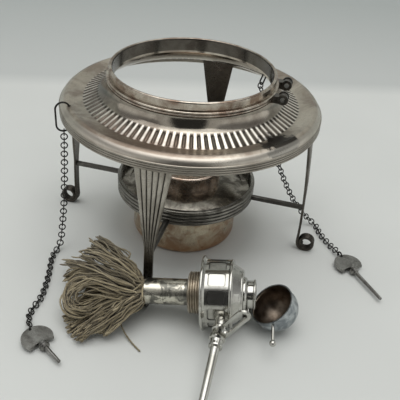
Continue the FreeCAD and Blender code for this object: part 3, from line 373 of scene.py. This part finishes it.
# Cast and never polished: almost black between the beads, partly tarnish and partly painted shade, grey on top of
# them.
hingeLook = {"clean": "#77736c", "film": "#4a4743", "dark": "#1a1817", "patchMm": 4.0, "patchEdge": 0.15,
             "tarnishAndShadeMm": 1.2, "tarnishAndShade": 0.8, "rough": (0.2, 0.36)}
giveMaterial(silverPlate("castSilverHingeOxidised", hingeLook), "kettle_knuckle_front", "kettle_knuckle_back")

# Rolled reeded strap: pale reeds with black lines between them, partly tarnish and partly painted shade,
# browner and darker towards the foot.
legLook = {"clean": "#c6c1b7", "film": "#918b81", "dark": "#1d1b19", "patchMm": 18.0, "patchEdge": 0.18,
           "tarnishAndShadeMm": 1.6, "tarnishAndShade": 1.0, "tarnishAndShadeSteps": (0.62, 0.92), "rough": (0.18, 0.32),
           "zones": [heightFade(30.0, 92.0, "#3b3732", 0.8)]}
giveMaterial(silverPlate("rolledReededStrapSilverPlate", legLook), "leg_front")

# The same strap on the other legs as a shaded copy: painted darker and greyer all over.
# painted shade: a darker copy of the front leg's strap colours
legShadedLook = dict(legLook, clean="#86817a", film="#5f5a53")
giveMaterial(silverPlate("rolledReededStrapSilverPlatePaintedShade", legShadedLook), "leg_right", "leg_back", "leg_left")

# Drawn bar, oxidised: dark grey with a soft, dull shine.
barLook = {"clean": "#6d6b66", "film": "#4c4a46", "dark": "#1b1a19", "patchMm": 12.0, "patchEdge": 0.18,
           "tarnishAndShadeMm": 1.5, "tarnishAndShade": 0.9, "rough": (0.28, 0.45)}
giveMaterial(silverPlate("oxidisedSilverPlateBar", barLook), "stretcher_front", "stretcher_right",
             "stretcher_back", "stretcher_left")

# Reeded lamp ring: the bars' grey, but smoother, so each reed carries a thin bright line.
ringLook = dict(barLook, clean="#918e86", film="#5c5953", rough=(0.14, 0.28))
giveMaterial(silverPlate("reededSilverPlateLampRing", ringLook), "lamp_ring")

# Drawn wire, heavily oxidised: nearly black links with small glints.
chainLook = {"clean": "#454442", "film": "#2d2c2a", "dark": "#121211", "patchMm": 5.0, "patchEdge": 0.15,
             "tarnishAndShadeMm": 0.8, "tarnishAndShade": 0.7, "rough": (0.30, 0.48)}
giveMaterial(silverPlate("oxidisedSilverWire", chainLook), "chain_left", "chain_right", "chain_hook_ring",
             "chain_staple", "pin_left_ring", "pin_right_ring")

# Cast pins, handled for years: mid grey, worn lighter in patches.
pinLook = {"clean": "#9b9a96", "film": "#6d6b67", "dark": "#1f1e1d", "patchMm": 9.0, "patchEdge": 0.12,
           "tarnishAndShadeMm": 1.0, "tarnishAndShade": 0.8, "rough": (0.16, 0.32)}
giveMaterial(silverPlate("wornSilverCastPin", pinLook), "pin_left_thumb_plate", "pin_left_collar",
             "pin_left_shank", "pin_right_thumb_plate", "pin_right_collar", "pin_right_shank")

# Turned and polished burner: the brightest metal here, near mirror, with black lines in the seams, partly tarnish
# and partly painted shade.
headLook = {"clean": "#d0cfc9", "film": "#a5a39b", "dark": "#22211f", "patchMm": 16.0, "patchEdge": 0.22,
            "tarnishAndShadeMm": 1.2, "tarnishAndShade": 0.97, "tarnishAndShadeSteps": (0.55, 0.97), "rough": (0.06, 0.16),
            "bump": 0.05, "fleck": 0.18}
giveMaterial(silverPlate("polishedTurnedSilver", headLook), "burner_flange", "burner_drum", "drum_bead",
             "burner_crown", "mouth_tube", "pivot_lugs", "pivot_pin", "handle_root", "handle_socket",
             "handle_rod", "handle_finial", "slotted_lever", "snuffer_knuckle", "snuffer_knob")

# Drawn tube, rubbed by the string and by fingers: bright, with hard-edged grey marks and small pits.
tubeLook = {"clean": "#cfcbbd", "film": "#6f6e67", "dark": "#2b2a27", "patchMm": 9.0, "patchEdge": 0.05,
            "tarnishAndShadeMm": 1.0, "tarnishAndShade": 0.7, "rough": (0.16, 0.30), "fleck": 0.5, "fleckMm": 1.2}
giveMaterial(silverPlate("drawnSilverTubeRubbed", tubeLook), "wick_tube")

# Raised cap: cool blue grey and speckled outside, brown soot and paler ash inside.
capLook = {"clean": "#bfc4c6", "film": "#7e8488", "dark": "#2a2723", "patchMm": 7.0, "patchEdge": 0.12,
           "tarnishAndShadeMm": 1.0, "tarnishAndShade": 0.6, "rough": (0.24, 0.40), "fleck": 0.5,
           "zones": [insideCap("#463c33", "#857a6e", 1.0)]}
giveMaterial(silverPlate("raisedSilverCapSooted", capLook), "snuffer_cap")

# Screw-cut collar, its plate worn on the crests: warm pale rings with brown between them, partly tarnish and
# partly painted shade.
threadLook = {"clean": "#cfc7b8", "film": "#aa9f90", "dark": "#3a2c22", "patchMm": 6.0, "patchEdge": 0.2,
              "tarnishAndShadeMm": 0.8, "tarnishAndShade": 0.75, "rough": (0.24, 0.38)}
giveMaterial(silverPlate("screwCutBrassSilverWorn", threadLook), "screw_collar")

# Spun font, plate worn through to copper low down: warm, with large brown flecks and shallow dents.
fontLook = {"clean": "#cfc3ac", "film": "#a58b74", "dark": "#3b3029", "patchMm": 12.0, "patchEdge": 0.10,
            "tarnishAndShadeMm": 2.5, "tarnishAndShade": 0.5, "rough": (0.18, 0.32), "filmRough": 0.10, "fleck": 0.75,
            "fleckMm": 5.0, "dent": 0.5, "zones": [heightFade(2.0, 15.0, "#b98a62", 0.55)]}
giveMaterial(silverPlate("spunCopperPlateWornThrough", fontLook), "font_body")

# Spun shoulder, darker than the font body: smooth and shiny, brown grey in patches.
shoulderLook = {"clean": "#9d988e", "film": "#57524b", "dark": "#23211e", "patchMm": 9.0, "patchEdge": 0.10,
                "tarnishAndShadeMm": 2.0, "tarnishAndShade": 0.6, "rough": (0.08, 0.20), "fleck": 0.6}
giveMaterial(silverPlate("spunPlateDarkerShoulder", shoulderLook), "font_shoulder")

# Turned neck, copper showing through the plate: a faint pink.
neckLook = {"clean": "#ecdfd2", "film": "#cbb29f", "dark": "#3a2c25", "patchMm": 7.0, "patchEdge": 0.2,
            "tarnishAndShadeMm": 1.6, "tarnishAndShade": 0.4, "rough": (0.16, 0.30), "fleck": 0.4}
giveMaterial(silverPlate("turnedCopperPlateWorn", neckLook), "font_neck")
print("stage 2: metals done")


# wick

# Sizes in millimetres, angles in degrees. Cotton fibres are ten times finer than fibreMm, which is drawn that
# coarse so that it shows.
wickLook = {
    "light": "#d2c4a2", "colour": "#86795c", "shade": "#3f3728", "gap": "#241f17",
    "fibreMm": 0.3, "fibreDeepMm": 0.3, "soilMm": 14.0, "noiseSteps": (0.35, 0.65), "soiled": (0.15, 0.75),
    "frayed": 0.45, "gapMm": 3.0, "gapRays": 6, "gapSteps": (0.1, 0.8), "gapDark": 0.85,
    "stringMm": 0.71, "sizeSpread": (0.82, 1.15), "around": 8, "twistMm": 3.4, "twistPhase": 6.28,
    "toneMiddle": 0.5, "toneSpread": 0.3, "rows": 40, "tubeRows": 4, "gathered": 5.0,
    "bundleMm": 7.2, "mouthMm": 58.0, "shortMm": 7.0, "inTube": 60, "tubeEndMm": 33.1, "turned": -4.0,
    "restMm": 1.0, "floorMm": 0.2, "seed": 7, "shortest": 0.84, "crowding": 0.92, "emptyHeart": 0.02,
    # waves along a string: how fast, and how wide
    "loosenBy": 3.0, "sway": ((6.0, 1.1), (19.0, 0.6)), "heave": ((7.0, 0.9), (23.0, 0.45)),
    # one stiff string that strays in front: along the tassel and across it
    "stray": {"start": (12.5, -19.5), "tip": (-5.7, -36.4), "bow": 2.2, "lieMm": 1.0, "liftMm": 5.0},
    # the front foot stands beside the tube's end: the largest x that a string may have, by its y, in metres
    "footClear": {"y": [-0.1100, -0.1010, -0.0970, -0.0925], "limit": [0.0120, -0.0052, -0.0080, -0.0160]},
    # each lock's path from the tube's end: away from it, toward the stand, up; half and deep are its half
    # width and half height at even steps along the path
    "locks": [
        # top tuft
        {"strings": 31, "half": (5, 7, 8, 7, 5), "deep": (4, 4, 4, 4, 3),
         "path": [(0.0, 0.0, 0.0), (10.2, 9.1, 6.6), (24.2, 21.0, 5.6), (39.9, 35.9, 1.6), (53.3, 48.7, -2.4)]},
        # behind
        {"strings": 29, "half": (5, 8, 9, 8, 6), "deep": (4, 5, 5, 4, 3),
         "path": [(0.0, 0.0, 0.0), (11.1, 4.6, 6.6), (28.4, 15.5, 4.6), (44.8, 27.6, -0.4), (57.1, 34.3, -5.4)]},
        # back left
        {"strings": 31, "half": (5, 7, 8, 8, 5), "deep": (4, 4, 4, 4, 3),
         "path": [(0.0, 0.0, 0.0), (12.3, -1.0, 6.6), (29.3, 8.8, 3.6), (50.2, 20.8, -4.4), (69.4, 29.0, -11.4)]},
        # left
        {"strings": 29, "half": (5, 8, 9, 9, 7), "deep": (4, 4, 4, 4, 3),
         "path": [(0.0, 0.0, 0.0), (13.2, -5.2, 5.6), (33.8, 4.7, 0.6), (51.5, 9.4, -6.4), (62.5, 5.9, -13.4)]},
        # whorl
        {"strings": 24, "loose": 1.9, "half": (4, 6, 8, 7, 6, 6, 5, 3), "deep": (4, 3, 3, 3, 3, 3, 3, 3),
         "path": [(0.0, 0.0, 0.0), (14.1, -9.3, 4.6), (30.6, -5.1, 1.6), (43.0, -6.4, -1.4), (47.5, -13.6, -4.4),
                  (44.5, -21.5, -6.4), (37.5, -22.3, -7.4), (32.2, -16.8, -7.4)]},
        # front slope
        {"strings": 31, "half": (4, 6, 8, 7, 6), "deep": (4, 4, 4, 4, 3),
         "path": [(0.0, 0.0, 0.0), (6.3, -12.9, 1.6), (13.8, -20.0, -4.4), (20.0, -26.7, -10.4),
                  (24.2, -31.1, -14.4)]},
        # front right
        {"strings": 14, "half": (3, 5, 5, 4, 3), "deep": (3, 3, 3, 3, 2),
         "path": [(0.0, 0.0, 0.0), (3.9, -8.9, -3.4), (9.6, -10.8, -9.4), (15.0, -13.8, -13.4),
                  (19.1, -16.6, -15.4)]},
        # front left
        {"strings": 34, "half": (4, 7, 10, 10, 9), "deep": (4, 5, 5, 4, 3),
         "path": [(0.0, 0.0, 0.0), (11.1, -12.7, -2.4), (24.5, -23.3, -8.4), (34.4, -31.0, -13.4),
                  (40.7, -38.7, -16.4)]},
        # low left
        {"strings": 31, "half": (4, 7, 10, 10, 9), "deep": (4, 5, 5, 4, 3),
         "path": [(0.0, 0.0, 0.0), (14.0, -9.8, 0.6), (30.7, -12.3, -7.4), (42.0, -18.7, -12.4),
                  (50.9, -25.6, -15.4)]}]}
# the inside of the tassel, painted dark as shade: half width, middle and half height, by the distance from the
# tube's end
heartLook = {"dark": "#3a3225", "light": "#5d513c", "lumpMm": 1.6, "noiseSteps": (0.35, 0.65),
             "fromMm": 1.0, "toMm": 46.0, "rows": 14, "around": 26, "away": [0, 8, 18, 30, 46],
             "half": [5.0, 8.0, 15.0, 20.0, 16.0], "middle": [0.0, -3.0, -9.0, -14.0, -17.5],
             "rise": [5.0, 6.0, 6.5, 5.0, 2.0], "lean": 0.10, "floorMm": 0.8, "clearMm": 1.0}


def cottonString(look):
    # Spun cotton string, unbleached and greasy from fuel: matt, with a slight fuzz at grazing angles,
    # each string a little lighter or darker than its neighbour, and painted shade darkening it in the gaps
    # between strings.
    mat, tree, obj = newMaterial("spunCottonString")
    tone = addNode(tree, "ShaderNodeAttribute", {"attribute_name": "tone"}).outputs["Fac"]
    fibre = addNode(tree, "ShaderNodeTexNoise", None,
                    {"Vector": obj, "Scale": perMm(look["fibreMm"]), "Detail": 4.0, "Roughness": 0.7})
    soil = addNode(tree, "ShaderNodeTexNoise", None,
                   {"Vector": obj, "Scale": perMm(look["soilMm"]), "Detail": 3.0})
    gap = addNode(tree, "ShaderNodeAmbientOcclusion", {"samples": look["gapRays"], "only_local": True},
                  {"Distance": look["gapMm"] / mmPerM}).outputs["AO"]
    low, high = look["noiseSteps"]
    soiled = addNode(tree, "ShaderNodeMapRange", None,
                     {0: soil, 1: low, 2: high, 3: look["soiled"][0], 4: look["soiled"][1]})
    frayed = addNode(tree, "ShaderNodeMapRange", None, {0: fibre, 1: low, 2: high, 4: look["frayed"]})
    # painted shade: the occlusion mask darkens the cotton where strings lie close together
    low, high = look["gapSteps"]
    gapShadeMask = addNode(tree, "ShaderNodeMapRange", None, {0: gap, 1: low, 2: high, 3: look["gapDark"], 4: 0.0})
    colour = layered(tree, hexColour(look["shade"]), [(tone, hexColour(look["light"])),
                                                      (soiled, hexColour(look["colour"])),
                                                      (frayed, hexColour(look["shade"])),
                                                      (gapShadeMask, hexColour(look["gap"]))])
    bump = addNode(tree, "ShaderNodeBump", None,
                   {"Height": fibre, "Strength": 0.5, "Distance": look["fibreDeepMm"] / mmPerM})
    finish(tree, addNode(tree, "ShaderNodeBsdfPrincipled", None,
                         {"Base Color": colour, "Roughness": 0.86, "Sheen Weight": 0.25, "Sheen Roughness": 0.6,
                          "Specular IOR Level": 0.25, "Normal": bump}))
    return mat


def cottonInPaintedShade(look):
    # The imported inside of the tassel: painted shade, the same cotton coloured dull and dark as in deep shade.
    mat, tree, obj = newMaterial("cottonPaintedShade")
    lump = addNode(tree, "ShaderNodeTexNoise", None,
                   {"Vector": obj, "Scale": perMm(look["lumpMm"]), "Detail": 4.0})
    low, high = look["noiseSteps"]
    lumps = addNode(tree, "ShaderNodeMapRange", None, {0: lump, 1: low, 2: high})
    colour = layered(tree, hexColour(look["dark"]), [(lumps, hexColour(look["light"]))])
    finish(tree, addNode(tree, "ShaderNodeBsdfPrincipled", None,
                         {"Base Color": colour, "Roughness": 0.95, "Specular IOR Level": 0.1}))
    return mat


def unit(ways, least=1e-9):
    # vectors of length 1 the same way
    return ways / np.maximum(np.linalg.norm(ways, axis=-1, keepdims=True), least)


def smooth(x):
    # 0 below 0, 1 above 1, and 3x^2 - 2x^3 between them
    x = np.clip(x, 0.0, 1.0)
    return x * x * (3 - 2 * x)


def alongCurve(points, t):
    # Catmull-Rom through the points: p = (2b + (c-a)f + (2a-5b+4c-d)f^2 + (3b-a-3c+d)f^3) / 2
    points = np.asarray(points, float)
    pad = np.concatenate([2 * points[:1] - points[1:2], points, 2 * points[-1:] - points[-2:-1]])
    x = np.clip(t, 0.0, 1.0) * (len(points) - 1)
    i = np.minimum(x.astype(int), len(points) - 2)
    f = (x - i)[..., None]
    a, b, c, d = pad[i], pad[i + 1], pad[i + 2], pad[i + 3]
    return (2 * b + (c - a) * f + (2 * a - 5 * b + 4 * c - d) * f ** 2 + (3 * b - a - 3 * c + d) * f ** 3) / 2


def sweepStrings(paths, radius, around, twistMm, phase):
    # Each string is a three-lobed circle carried along its path and turned steadily, like laid string:
    # point = path + radius x taper x (0.84 + 0.16 cos(3 angle - turn)) x (cos angle side + sin angle lift)
    lobeMean, lobeWave, taperMm, taperLeast = 0.84, 0.16, 0.6, 0.35
    forward = unit(np.gradient(paths, axis=1))
    side = unit(np.cross(forward, upward))
    lift = np.cross(side, forward)
    steps = np.linalg.norm(np.diff(paths, axis=1), axis=2)
    run = np.concatenate([np.zeros((len(paths), 1)), np.cumsum(steps, axis=1)], 1)
    theta = np.linspace(0.0, 2 * math.pi, around, endpoint=False)
    turn = run[:, :, None] * (2 * math.pi / (twistMm / mmPerM)) + phase[:, None, None]
    lobes = lobeMean + lobeWave * np.cos(3.0 * theta[None, None, :] - turn)
    taper = np.clip(np.minimum(run, run[:, -1:] - run) / (taperMm / mmPerM), taperLeast, 1.0)
    size = (radius[:, None] * taper)[:, :, None] * lobes
    ring = (np.cos(theta)[None, None, :, None] * side[:, :, None, :]
            + np.sin(theta)[None, None, :, None] * lift[:, :, None, :])
    return paths[:, :, None, :] + size[..., None] * ring


def lockStrings(lock, look, rng, rows):
    # A string keeps its place (share a, level b) in the lock's oval section: point = path + a half side
    # + b deep up, plus a slow and a fast sine wave each way. Strings stop at uneven lengths.
    count = lock["strings"]
    reach = rng.uniform(look["shortest"], 1.0, count)
    t = reach[:, None] * np.linspace(0.0, 1.0, rows)[None, :] ** look["crowding"]
    path = alongCurve(lock["path"], t)
    steps = np.linspace(0.0, 1.0, len(lock["half"]))
    half = np.interp(t, steps, lock["half"])
    deep = np.interp(t, steps, lock["deep"])
    step = np.gradient(path, axis=1)
    side = unit(np.stack([-step[..., 1], step[..., 0]], axis=2), 1e-6)
    angle = rng.uniform(0.0, 2 * math.pi, count)
    far = np.sqrt(rng.uniform(look["emptyHeart"], 1.0, count))
    wave = rng.uniform(0.0, 2 * math.pi, (count, 4))
    loose = smooth(t * look["loosenBy"]) * lock.get("loose", 1.0)
    waves = [np.sin(t * pace + wave[:, i:i + 1]) * size
             for i, (pace, size) in enumerate(look["sway"] + look["heave"])]
    across = (far * np.cos(angle))[:, None] * half + (waves[0] + waves[1]) * loose
    lift = (far * np.sin(angle))[:, None] * deep + (waves[2] + waves[3]) * loose
    points = np.empty((count, rows, 3))
    points[..., :2] = path[..., :2] + side * across[..., None]
    points[..., 2] = path[..., 2] + lift
    return points


def tasselFrame(look):
    # The wick leaves the tube along the wick joint's axis, and the tube's box gives its middle. Returns the
    # tube's end, its axis, the tassel's way out over the table, the way across it, and the tube's upright.
    axis = unit(next(np.array(j["axis"], float) for j in frame["joints"] if j["name"] == "wick_feed"))
    low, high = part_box("wick_tube")
    tubeEnd = (np.array(low) + np.array(high)) / 2.0 + axis * (look["tubeEndMm"] / mmPerM)
    flat = unit(axis * (1.0, 1.0, 0.0))
    turn = math.radians(look["turned"])
    out = np.array([flat[0] * math.cos(turn) - flat[1] * math.sin(turn),
                    flat[0] * math.sin(turn) + flat[1] * math.cos(turn), 0.0])
    wide = np.array([-out[1], out[0], 0.0])
    wide = wide if wide[1] >= 0 else -wide
    upright = unit(np.cross(axis, wide))
    return tubeEnd, axis, out, wide, upright if upright[2] >= 0 else -upright


def underLimit(points, clear, spareMm=0.0):
    # keeps x below the limit for its y, so that nothing comes into the front foot
    limit = np.interp(points[..., 1], clear["y"], clear["limit"]) - spareMm / mmPerM
    points[..., 0] = np.minimum(points[..., 0], limit)


def makeWick(look, heartLook):
    # Strings run straight through the tube, then spread as locks that lie over one another on the table.
    rng = np.random.default_rng(look["seed"])
    tubeEnd, axis, out, wide, upright = tasselFrame(look)
    rows, tubeRows = look["rows"], look["tubeRows"]
    fan = np.concatenate([lockStrings(lock, look, rng, rows - tubeRows) for lock in look["locks"]]) / mmPerM
    fan = tubeEnd + fan[..., :1] * out + fan[..., 1:2] * wide + fan[..., 2:] * upward
    count = len(fan)

    # at the tube's end every string lies inside the bore, and inTube of them go right through the tube
    spot = rng.uniform(0.0, 2 * math.pi, count)
    room = np.sqrt(rng.uniform(0.0, 1.0, count)) * look["bundleMm"] / mmPerM
    inside = np.cos(spot)[:, None] * room[:, None] * wide + np.sin(spot)[:, None] * room[:, None] * upright
    hold = 1.0 - smooth(np.linspace(0.0, 1.0, rows - tubeRows) * look["gathered"])
    start = tubeEnd + inside
    fan += hold[None, :, None] * (start - fan[:, 0])[:, None, :]
    deepest = np.where(rng.permutation(count) < look["inTube"], look["mouthMm"], look["shortMm"]) / mmPerM
    back = deepest[:, None] * np.linspace(1.0, 0.2, tubeRows)[None, :]
    straight = start[:, None, :] - axis * back[..., None]
    underLimit(fan, look["footClear"])
    paths = np.concatenate([straight, fan], axis=1)
    paths[..., 2] = np.maximum(paths[..., 2], look["restMm"] / mmPerM)

    # the stray string: a curve with one control point, start (1-k)^2 + 2 bend k (1-k) + tip k^2
    stray = look["stray"]
    first, tip = (tubeEnd + out * (stray[end][0] / mmPerM) + wide * (stray[end][1] / mmPerM)
                  for end in ("start", "tip"))
    bend = (first + tip) / 2 + out * (stray["bow"] / mmPerM)
    k = np.linspace(0.0, 1.0, rows)[:, None]
    line = first * (1 - k) ** 2 + 2 * bend * k * (1 - k) + tip * k ** 2
    line[:, 2] = stray["lieMm"] / mmPerM + stray["liftMm"] / mmPerM * (1 - k[:, 0]) ** 3
    paths = np.concatenate([paths, line[None]], axis=0)

    size = rng.uniform(*look["sizeSpread"], len(paths)) * look["stringMm"] / mmPerM
    grids = sweepStrings(paths, size, look["around"], look["twistMm"],
                         rng.uniform(0.0, look["twistPhase"], len(paths)))
    grids[..., 2] = np.maximum(grids[..., 2], look["floorMm"] / mmPerM)
    tones = np.clip(rng.normal(look["toneMiddle"], look["toneSpread"], len(paths)), 0.0, 1.0)
    mesh = tubesMesh("wickStrings", grids)
    toneLayer = mesh.attributes.new("tone", "FLOAT", "POINT")
    toneLayer.data.foreach_set("value", np.repeat(tones, len(mesh.vertices) // len(paths)).astype(np.float32))
    wick = addPiece("wickStrings", mesh, cottonString(look), "wick_body")

    # A plain dark heart under the strings, painted shade, so that no floor shows between them: an oval whose
    # width, middle and half height depend on the distance from the tube's end.
    far = np.linspace(heartLook["fromMm"], heartLook["toMm"], heartLook["rows"])
    half, middle, rise = (np.interp(far, heartLook["away"], heartLook[part])[:, None]
                          for part in ("half", "middle", "rise"))
    ring = np.linspace(0, 2 * math.pi, heartLook["around"], endpoint=False)
    heart = (tubeEnd + out * far[:, None, None] / mmPerM
             + wide * (half * np.cos(ring) - heartLook["lean"] * far[:, None])[..., None] / mmPerM
             + upward * (middle + rise * np.sin(ring))[..., None] / mmPerM)
    heart[..., 2] = np.maximum(heart[..., 2], heartLook["floorMm"] / mmPerM)
    underLimit(heart, look["footClear"], heartLook["clearMm"])
    heartPiece = addPiece("wickHeart", tubesMesh("wickHeart", heart[None]), cottonInPaintedShade(heartLook), "wick_body")
    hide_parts("wick")


makeWick(wickLook, heartLook)
print("stage 3: wick done")


# stage, light and camera; lengths in metres

studio = {"floor": "#d6d8d5", "floorCloud": "#d0d2cf", "cloudMm": 200.0, "cloudSteps": (0.3, 0.7),
          # the table ends at the foot of the bend; the card behind it carries painted shade: a little darker,
          # most so higher up, then back to the floor's colour above that
          "paintedShadeBands": [(0.009, 0.014, "#c0c3c1"), (0.018, 0.070, "#aeb3b1"), (0.11, 0.22, "#d6d8d5")],
          "turned": 6.5, "near": -1.6, "bendAt": 0.16, "bendRadius": 0.45, "wallTop": 1.6, "halfWide": 2.2,
          "floorRows": 12, "bendRows": 24, "wallRows": 9, "columns": 12,
          "lampPower": 10.3, "lampSize": 1.8, "lampAt": (-0.10, 0.05, 1.15)}
cameraSpot = {"position": (0.09743, -0.40259, 0.30397),
              "right": (0.96412, 0.25840, 0.06094), "up": (-0.19873, 0.55024, 0.81101),
              "forward": (-0.17603, 0.79402, -0.58185),
              "lens": 55.2, "sensor": 36.0, "shift": (0.01625, 0.04175), "clipStart": 0.01}
# grey levels of the room, with the heights (as a sine) and the angles in degrees where each one starts
# and is full
room = {"walls": (0.62, 0.63, 0.62, 1), "ceiling": (0.22, 0.22, 0.22, 1), "ceilingSteps": (0.18, 0.55),
        "softPatch": (1.1, 1.1, 1.08, 1), "softPatchSteps": (0.86, 0.93),
        "panel": (0.42, 0.42, 0.41, 1), "panelSteps": (42, 38),
        "flag": (0.03, 0.03, 0.03, 1), "flagSteps": (24, 22), "topSteps": (0.80, 0.88), "strength": 1.32}


def paperSweep(look):
    # A card sweep: flat floor, quarter circle, upright back, carried sideways
    away = Vector((cameraSpot["forward"][0], cameraSpot["forward"][1], 0.0)).normalized()
    away.rotate(Matrix.Rotation(math.radians(look["turned"]), 3, "Z"))
    sideways = Vector((away.y, -away.x, 0.0))
    r, foot = look["bendRadius"], look["bendAt"]
    bend = np.linspace(0.0, math.pi / 2, look["bendRows"])
    floorRun = np.linspace(look["near"], foot, look["floorRows"])[:-1]
    wallRise = np.linspace(r, look["wallTop"], look["wallRows"])[1:]
    run = np.concatenate([floorRun, foot + r * np.sin(bend), np.full(len(wallRise), foot + r)])
    rise = np.concatenate([np.zeros(len(floorRun)), r - r * np.cos(bend), wallRise])
    across = np.linspace(-look["halfWide"], look["halfWide"], look["columns"])
    grid = (np.array(away) * run[:, None, None] + np.array(sideways) * across[None, :, None]
            + upward * rise[:, None, None])
    cells = gridCells(len(run), len(across))[2][:, :-1]
    mesh = smoothMesh("paperSweep", grid, cells.reshape(-1, 4).tolist())

    # matt card: even, with a very faint cloudiness
    mat, tree, obj = newMaterial("mattPaperCard")
    noise = addNode(tree, "ShaderNodeTexNoise", None,
                    {"Vector": obj, "Scale": perMm(look["cloudMm"]), "Detail": 2.0})
    low, high = look["cloudSteps"]
    cloud = addNode(tree, "ShaderNodeMapRange", None, {0: noise, 1: low, 2: high})
    layers = [(cloud, hexColour(look["floorCloud"]))]
    tall = addNode(tree, "ShaderNodeSeparateXYZ", None, {0: obj}).outputs[2]
    # painted shade: darker bands of card by height
    for low, high, tint in look["paintedShadeBands"]:
        layers.append((addNode(tree, "ShaderNodeMapRange", None, {0: tall, 1: low, 2: high}), hexColour(tint)))
    card = addNode(tree, "ShaderNodeBsdfPrincipled", None,
                   {"Base Color": layered(tree, hexColour(look["floor"]), layers), "Roughness": 0.9,
                    "Specular IOR Level": 0.1})
    # the back of the card is clear, so it never hides the object from someone behind it
    behind = addNode(tree, "ShaderNodeNewGeometry").outputs["Backfacing"]
    clear = addNode(tree, "ShaderNodeBsdfTransparent")
    finish(tree, addNode(tree, "ShaderNodeMixShader", None, {0: behind, 1: card, 2: clear}))
    addPiece("paperSweep", mesh, mat, None)


def roomWorld(look):
    # A plain room: pale walls, a darker ceiling, one soft overhead patch, and in front a dark upright
    # flag between two pale panels, as silver is lit. Directions only, no image; every kind of ray
    # sees the same room.
    world = bpy.data.worlds.new("roomWorld")
    bpy.context.scene.world = world
    world.use_nodes = True
    tree = world.node_tree
    tree.nodes.clear()
    way = addNode(tree, "ShaderNodeTexCoord").outputs["Generated"]
    tall = addNode(tree, "ShaderNodeSeparateXYZ", None, {0: way}).outputs[2]
    low, high = look["ceilingSteps"]
    ceiling = addNode(tree, "ShaderNodeMapRange", {"interpolation_type": "SMOOTHSTEP"},
                      {0: tall, 1: low, 2: high})
    low, high = look["softPatchSteps"]
    layers = [(ceiling, look["ceiling"]),
              (addNode(tree, "ShaderNodeMapRange", None, {0: tall, 1: low, 2: high}), look["softPatch"])]

    # the cosine of the angle, seen from above, between a direction and the front
    front = Vector((-cameraSpot["forward"][0], -cameraSpot["forward"][1], 0.0)).normalized()
    dot = addNode(tree, "ShaderNodeVectorMath", {"operation": "DOT_PRODUCT"}, {0: way, 1: front})
    flat = addNode(tree, "ShaderNodeVectorMath", times, {0: way, 1: (1.0, 1.0, 0.0)})
    length = addNode(tree, "ShaderNodeVectorMath", {"operation": "LENGTH"}, {0: flat})
    facing = addNode(tree, "ShaderNodeMath", {"operation": "DIVIDE"}, {0: dot, 1: length})
    low, high = look["topSteps"]
    belowTop = addNode(tree, "ShaderNodeMapRange", None, {0: tall, 1: low, 2: high, 3: 1.0, 4: 0.0})
    for part in ("panel", "flag"):
        start, full = (math.cos(math.radians(angle)) for angle in look[part + "Steps"])
        beside = addNode(tree, "ShaderNodeMapRange", None, {0: facing, 1: start, 2: full})
        layers.append((addNode(tree, "ShaderNodeMath", times, {0: beside, 1: belowTop}), look[part]))
    background = addNode(tree, "ShaderNodeBackground", None,
                         {"Color": layered(tree, look["walls"], layers), "Strength": look["strength"]})
    addNode(tree, "ShaderNodeOutputWorld", None, {"Surface": background})


def softLamp(look):
    # one large square softbox straight overhead
    data = bpy.data.lights.new("overheadSoftbox", "AREA")
    data.shape = "SQUARE"
    data.size = look["lampSize"]
    data.energy = look["lampPower"]
    lamp = bpy.data.objects.new("overheadSoftbox", data)
    lamp.location = look["lampAt"]
    bpy.context.scene.collection.objects.link(lamp)


def setCamera(spot):
    data = bpy.data.cameras.new("camera")
    data.sensor_width = spot["sensor"]
    data.lens = spot["lens"]
    data.shift_x, data.shift_y = spot["shift"]
    data.clip_start = spot["clipStart"]
    camera = bpy.data.objects.new("camera", data)
    right, up, forward = (Vector(spot[k]) for k in ("right", "up", "forward"))
    turn = Matrix((right, up, -forward)).transposed().to_4x4()
    camera.matrix_world = Matrix.Translation(Vector(spot["position"])) @ turn
    bpy.context.scene.collection.objects.link(camera)
    bpy.context.scene.camera = camera


paperSweep(studio)
roomWorld(room)
softLamp(studio)
setCamera(cameraSpot)
bpy.context.scene.view_settings.view_transform = "Standard"
print("stage 4: stage, light and camera done")
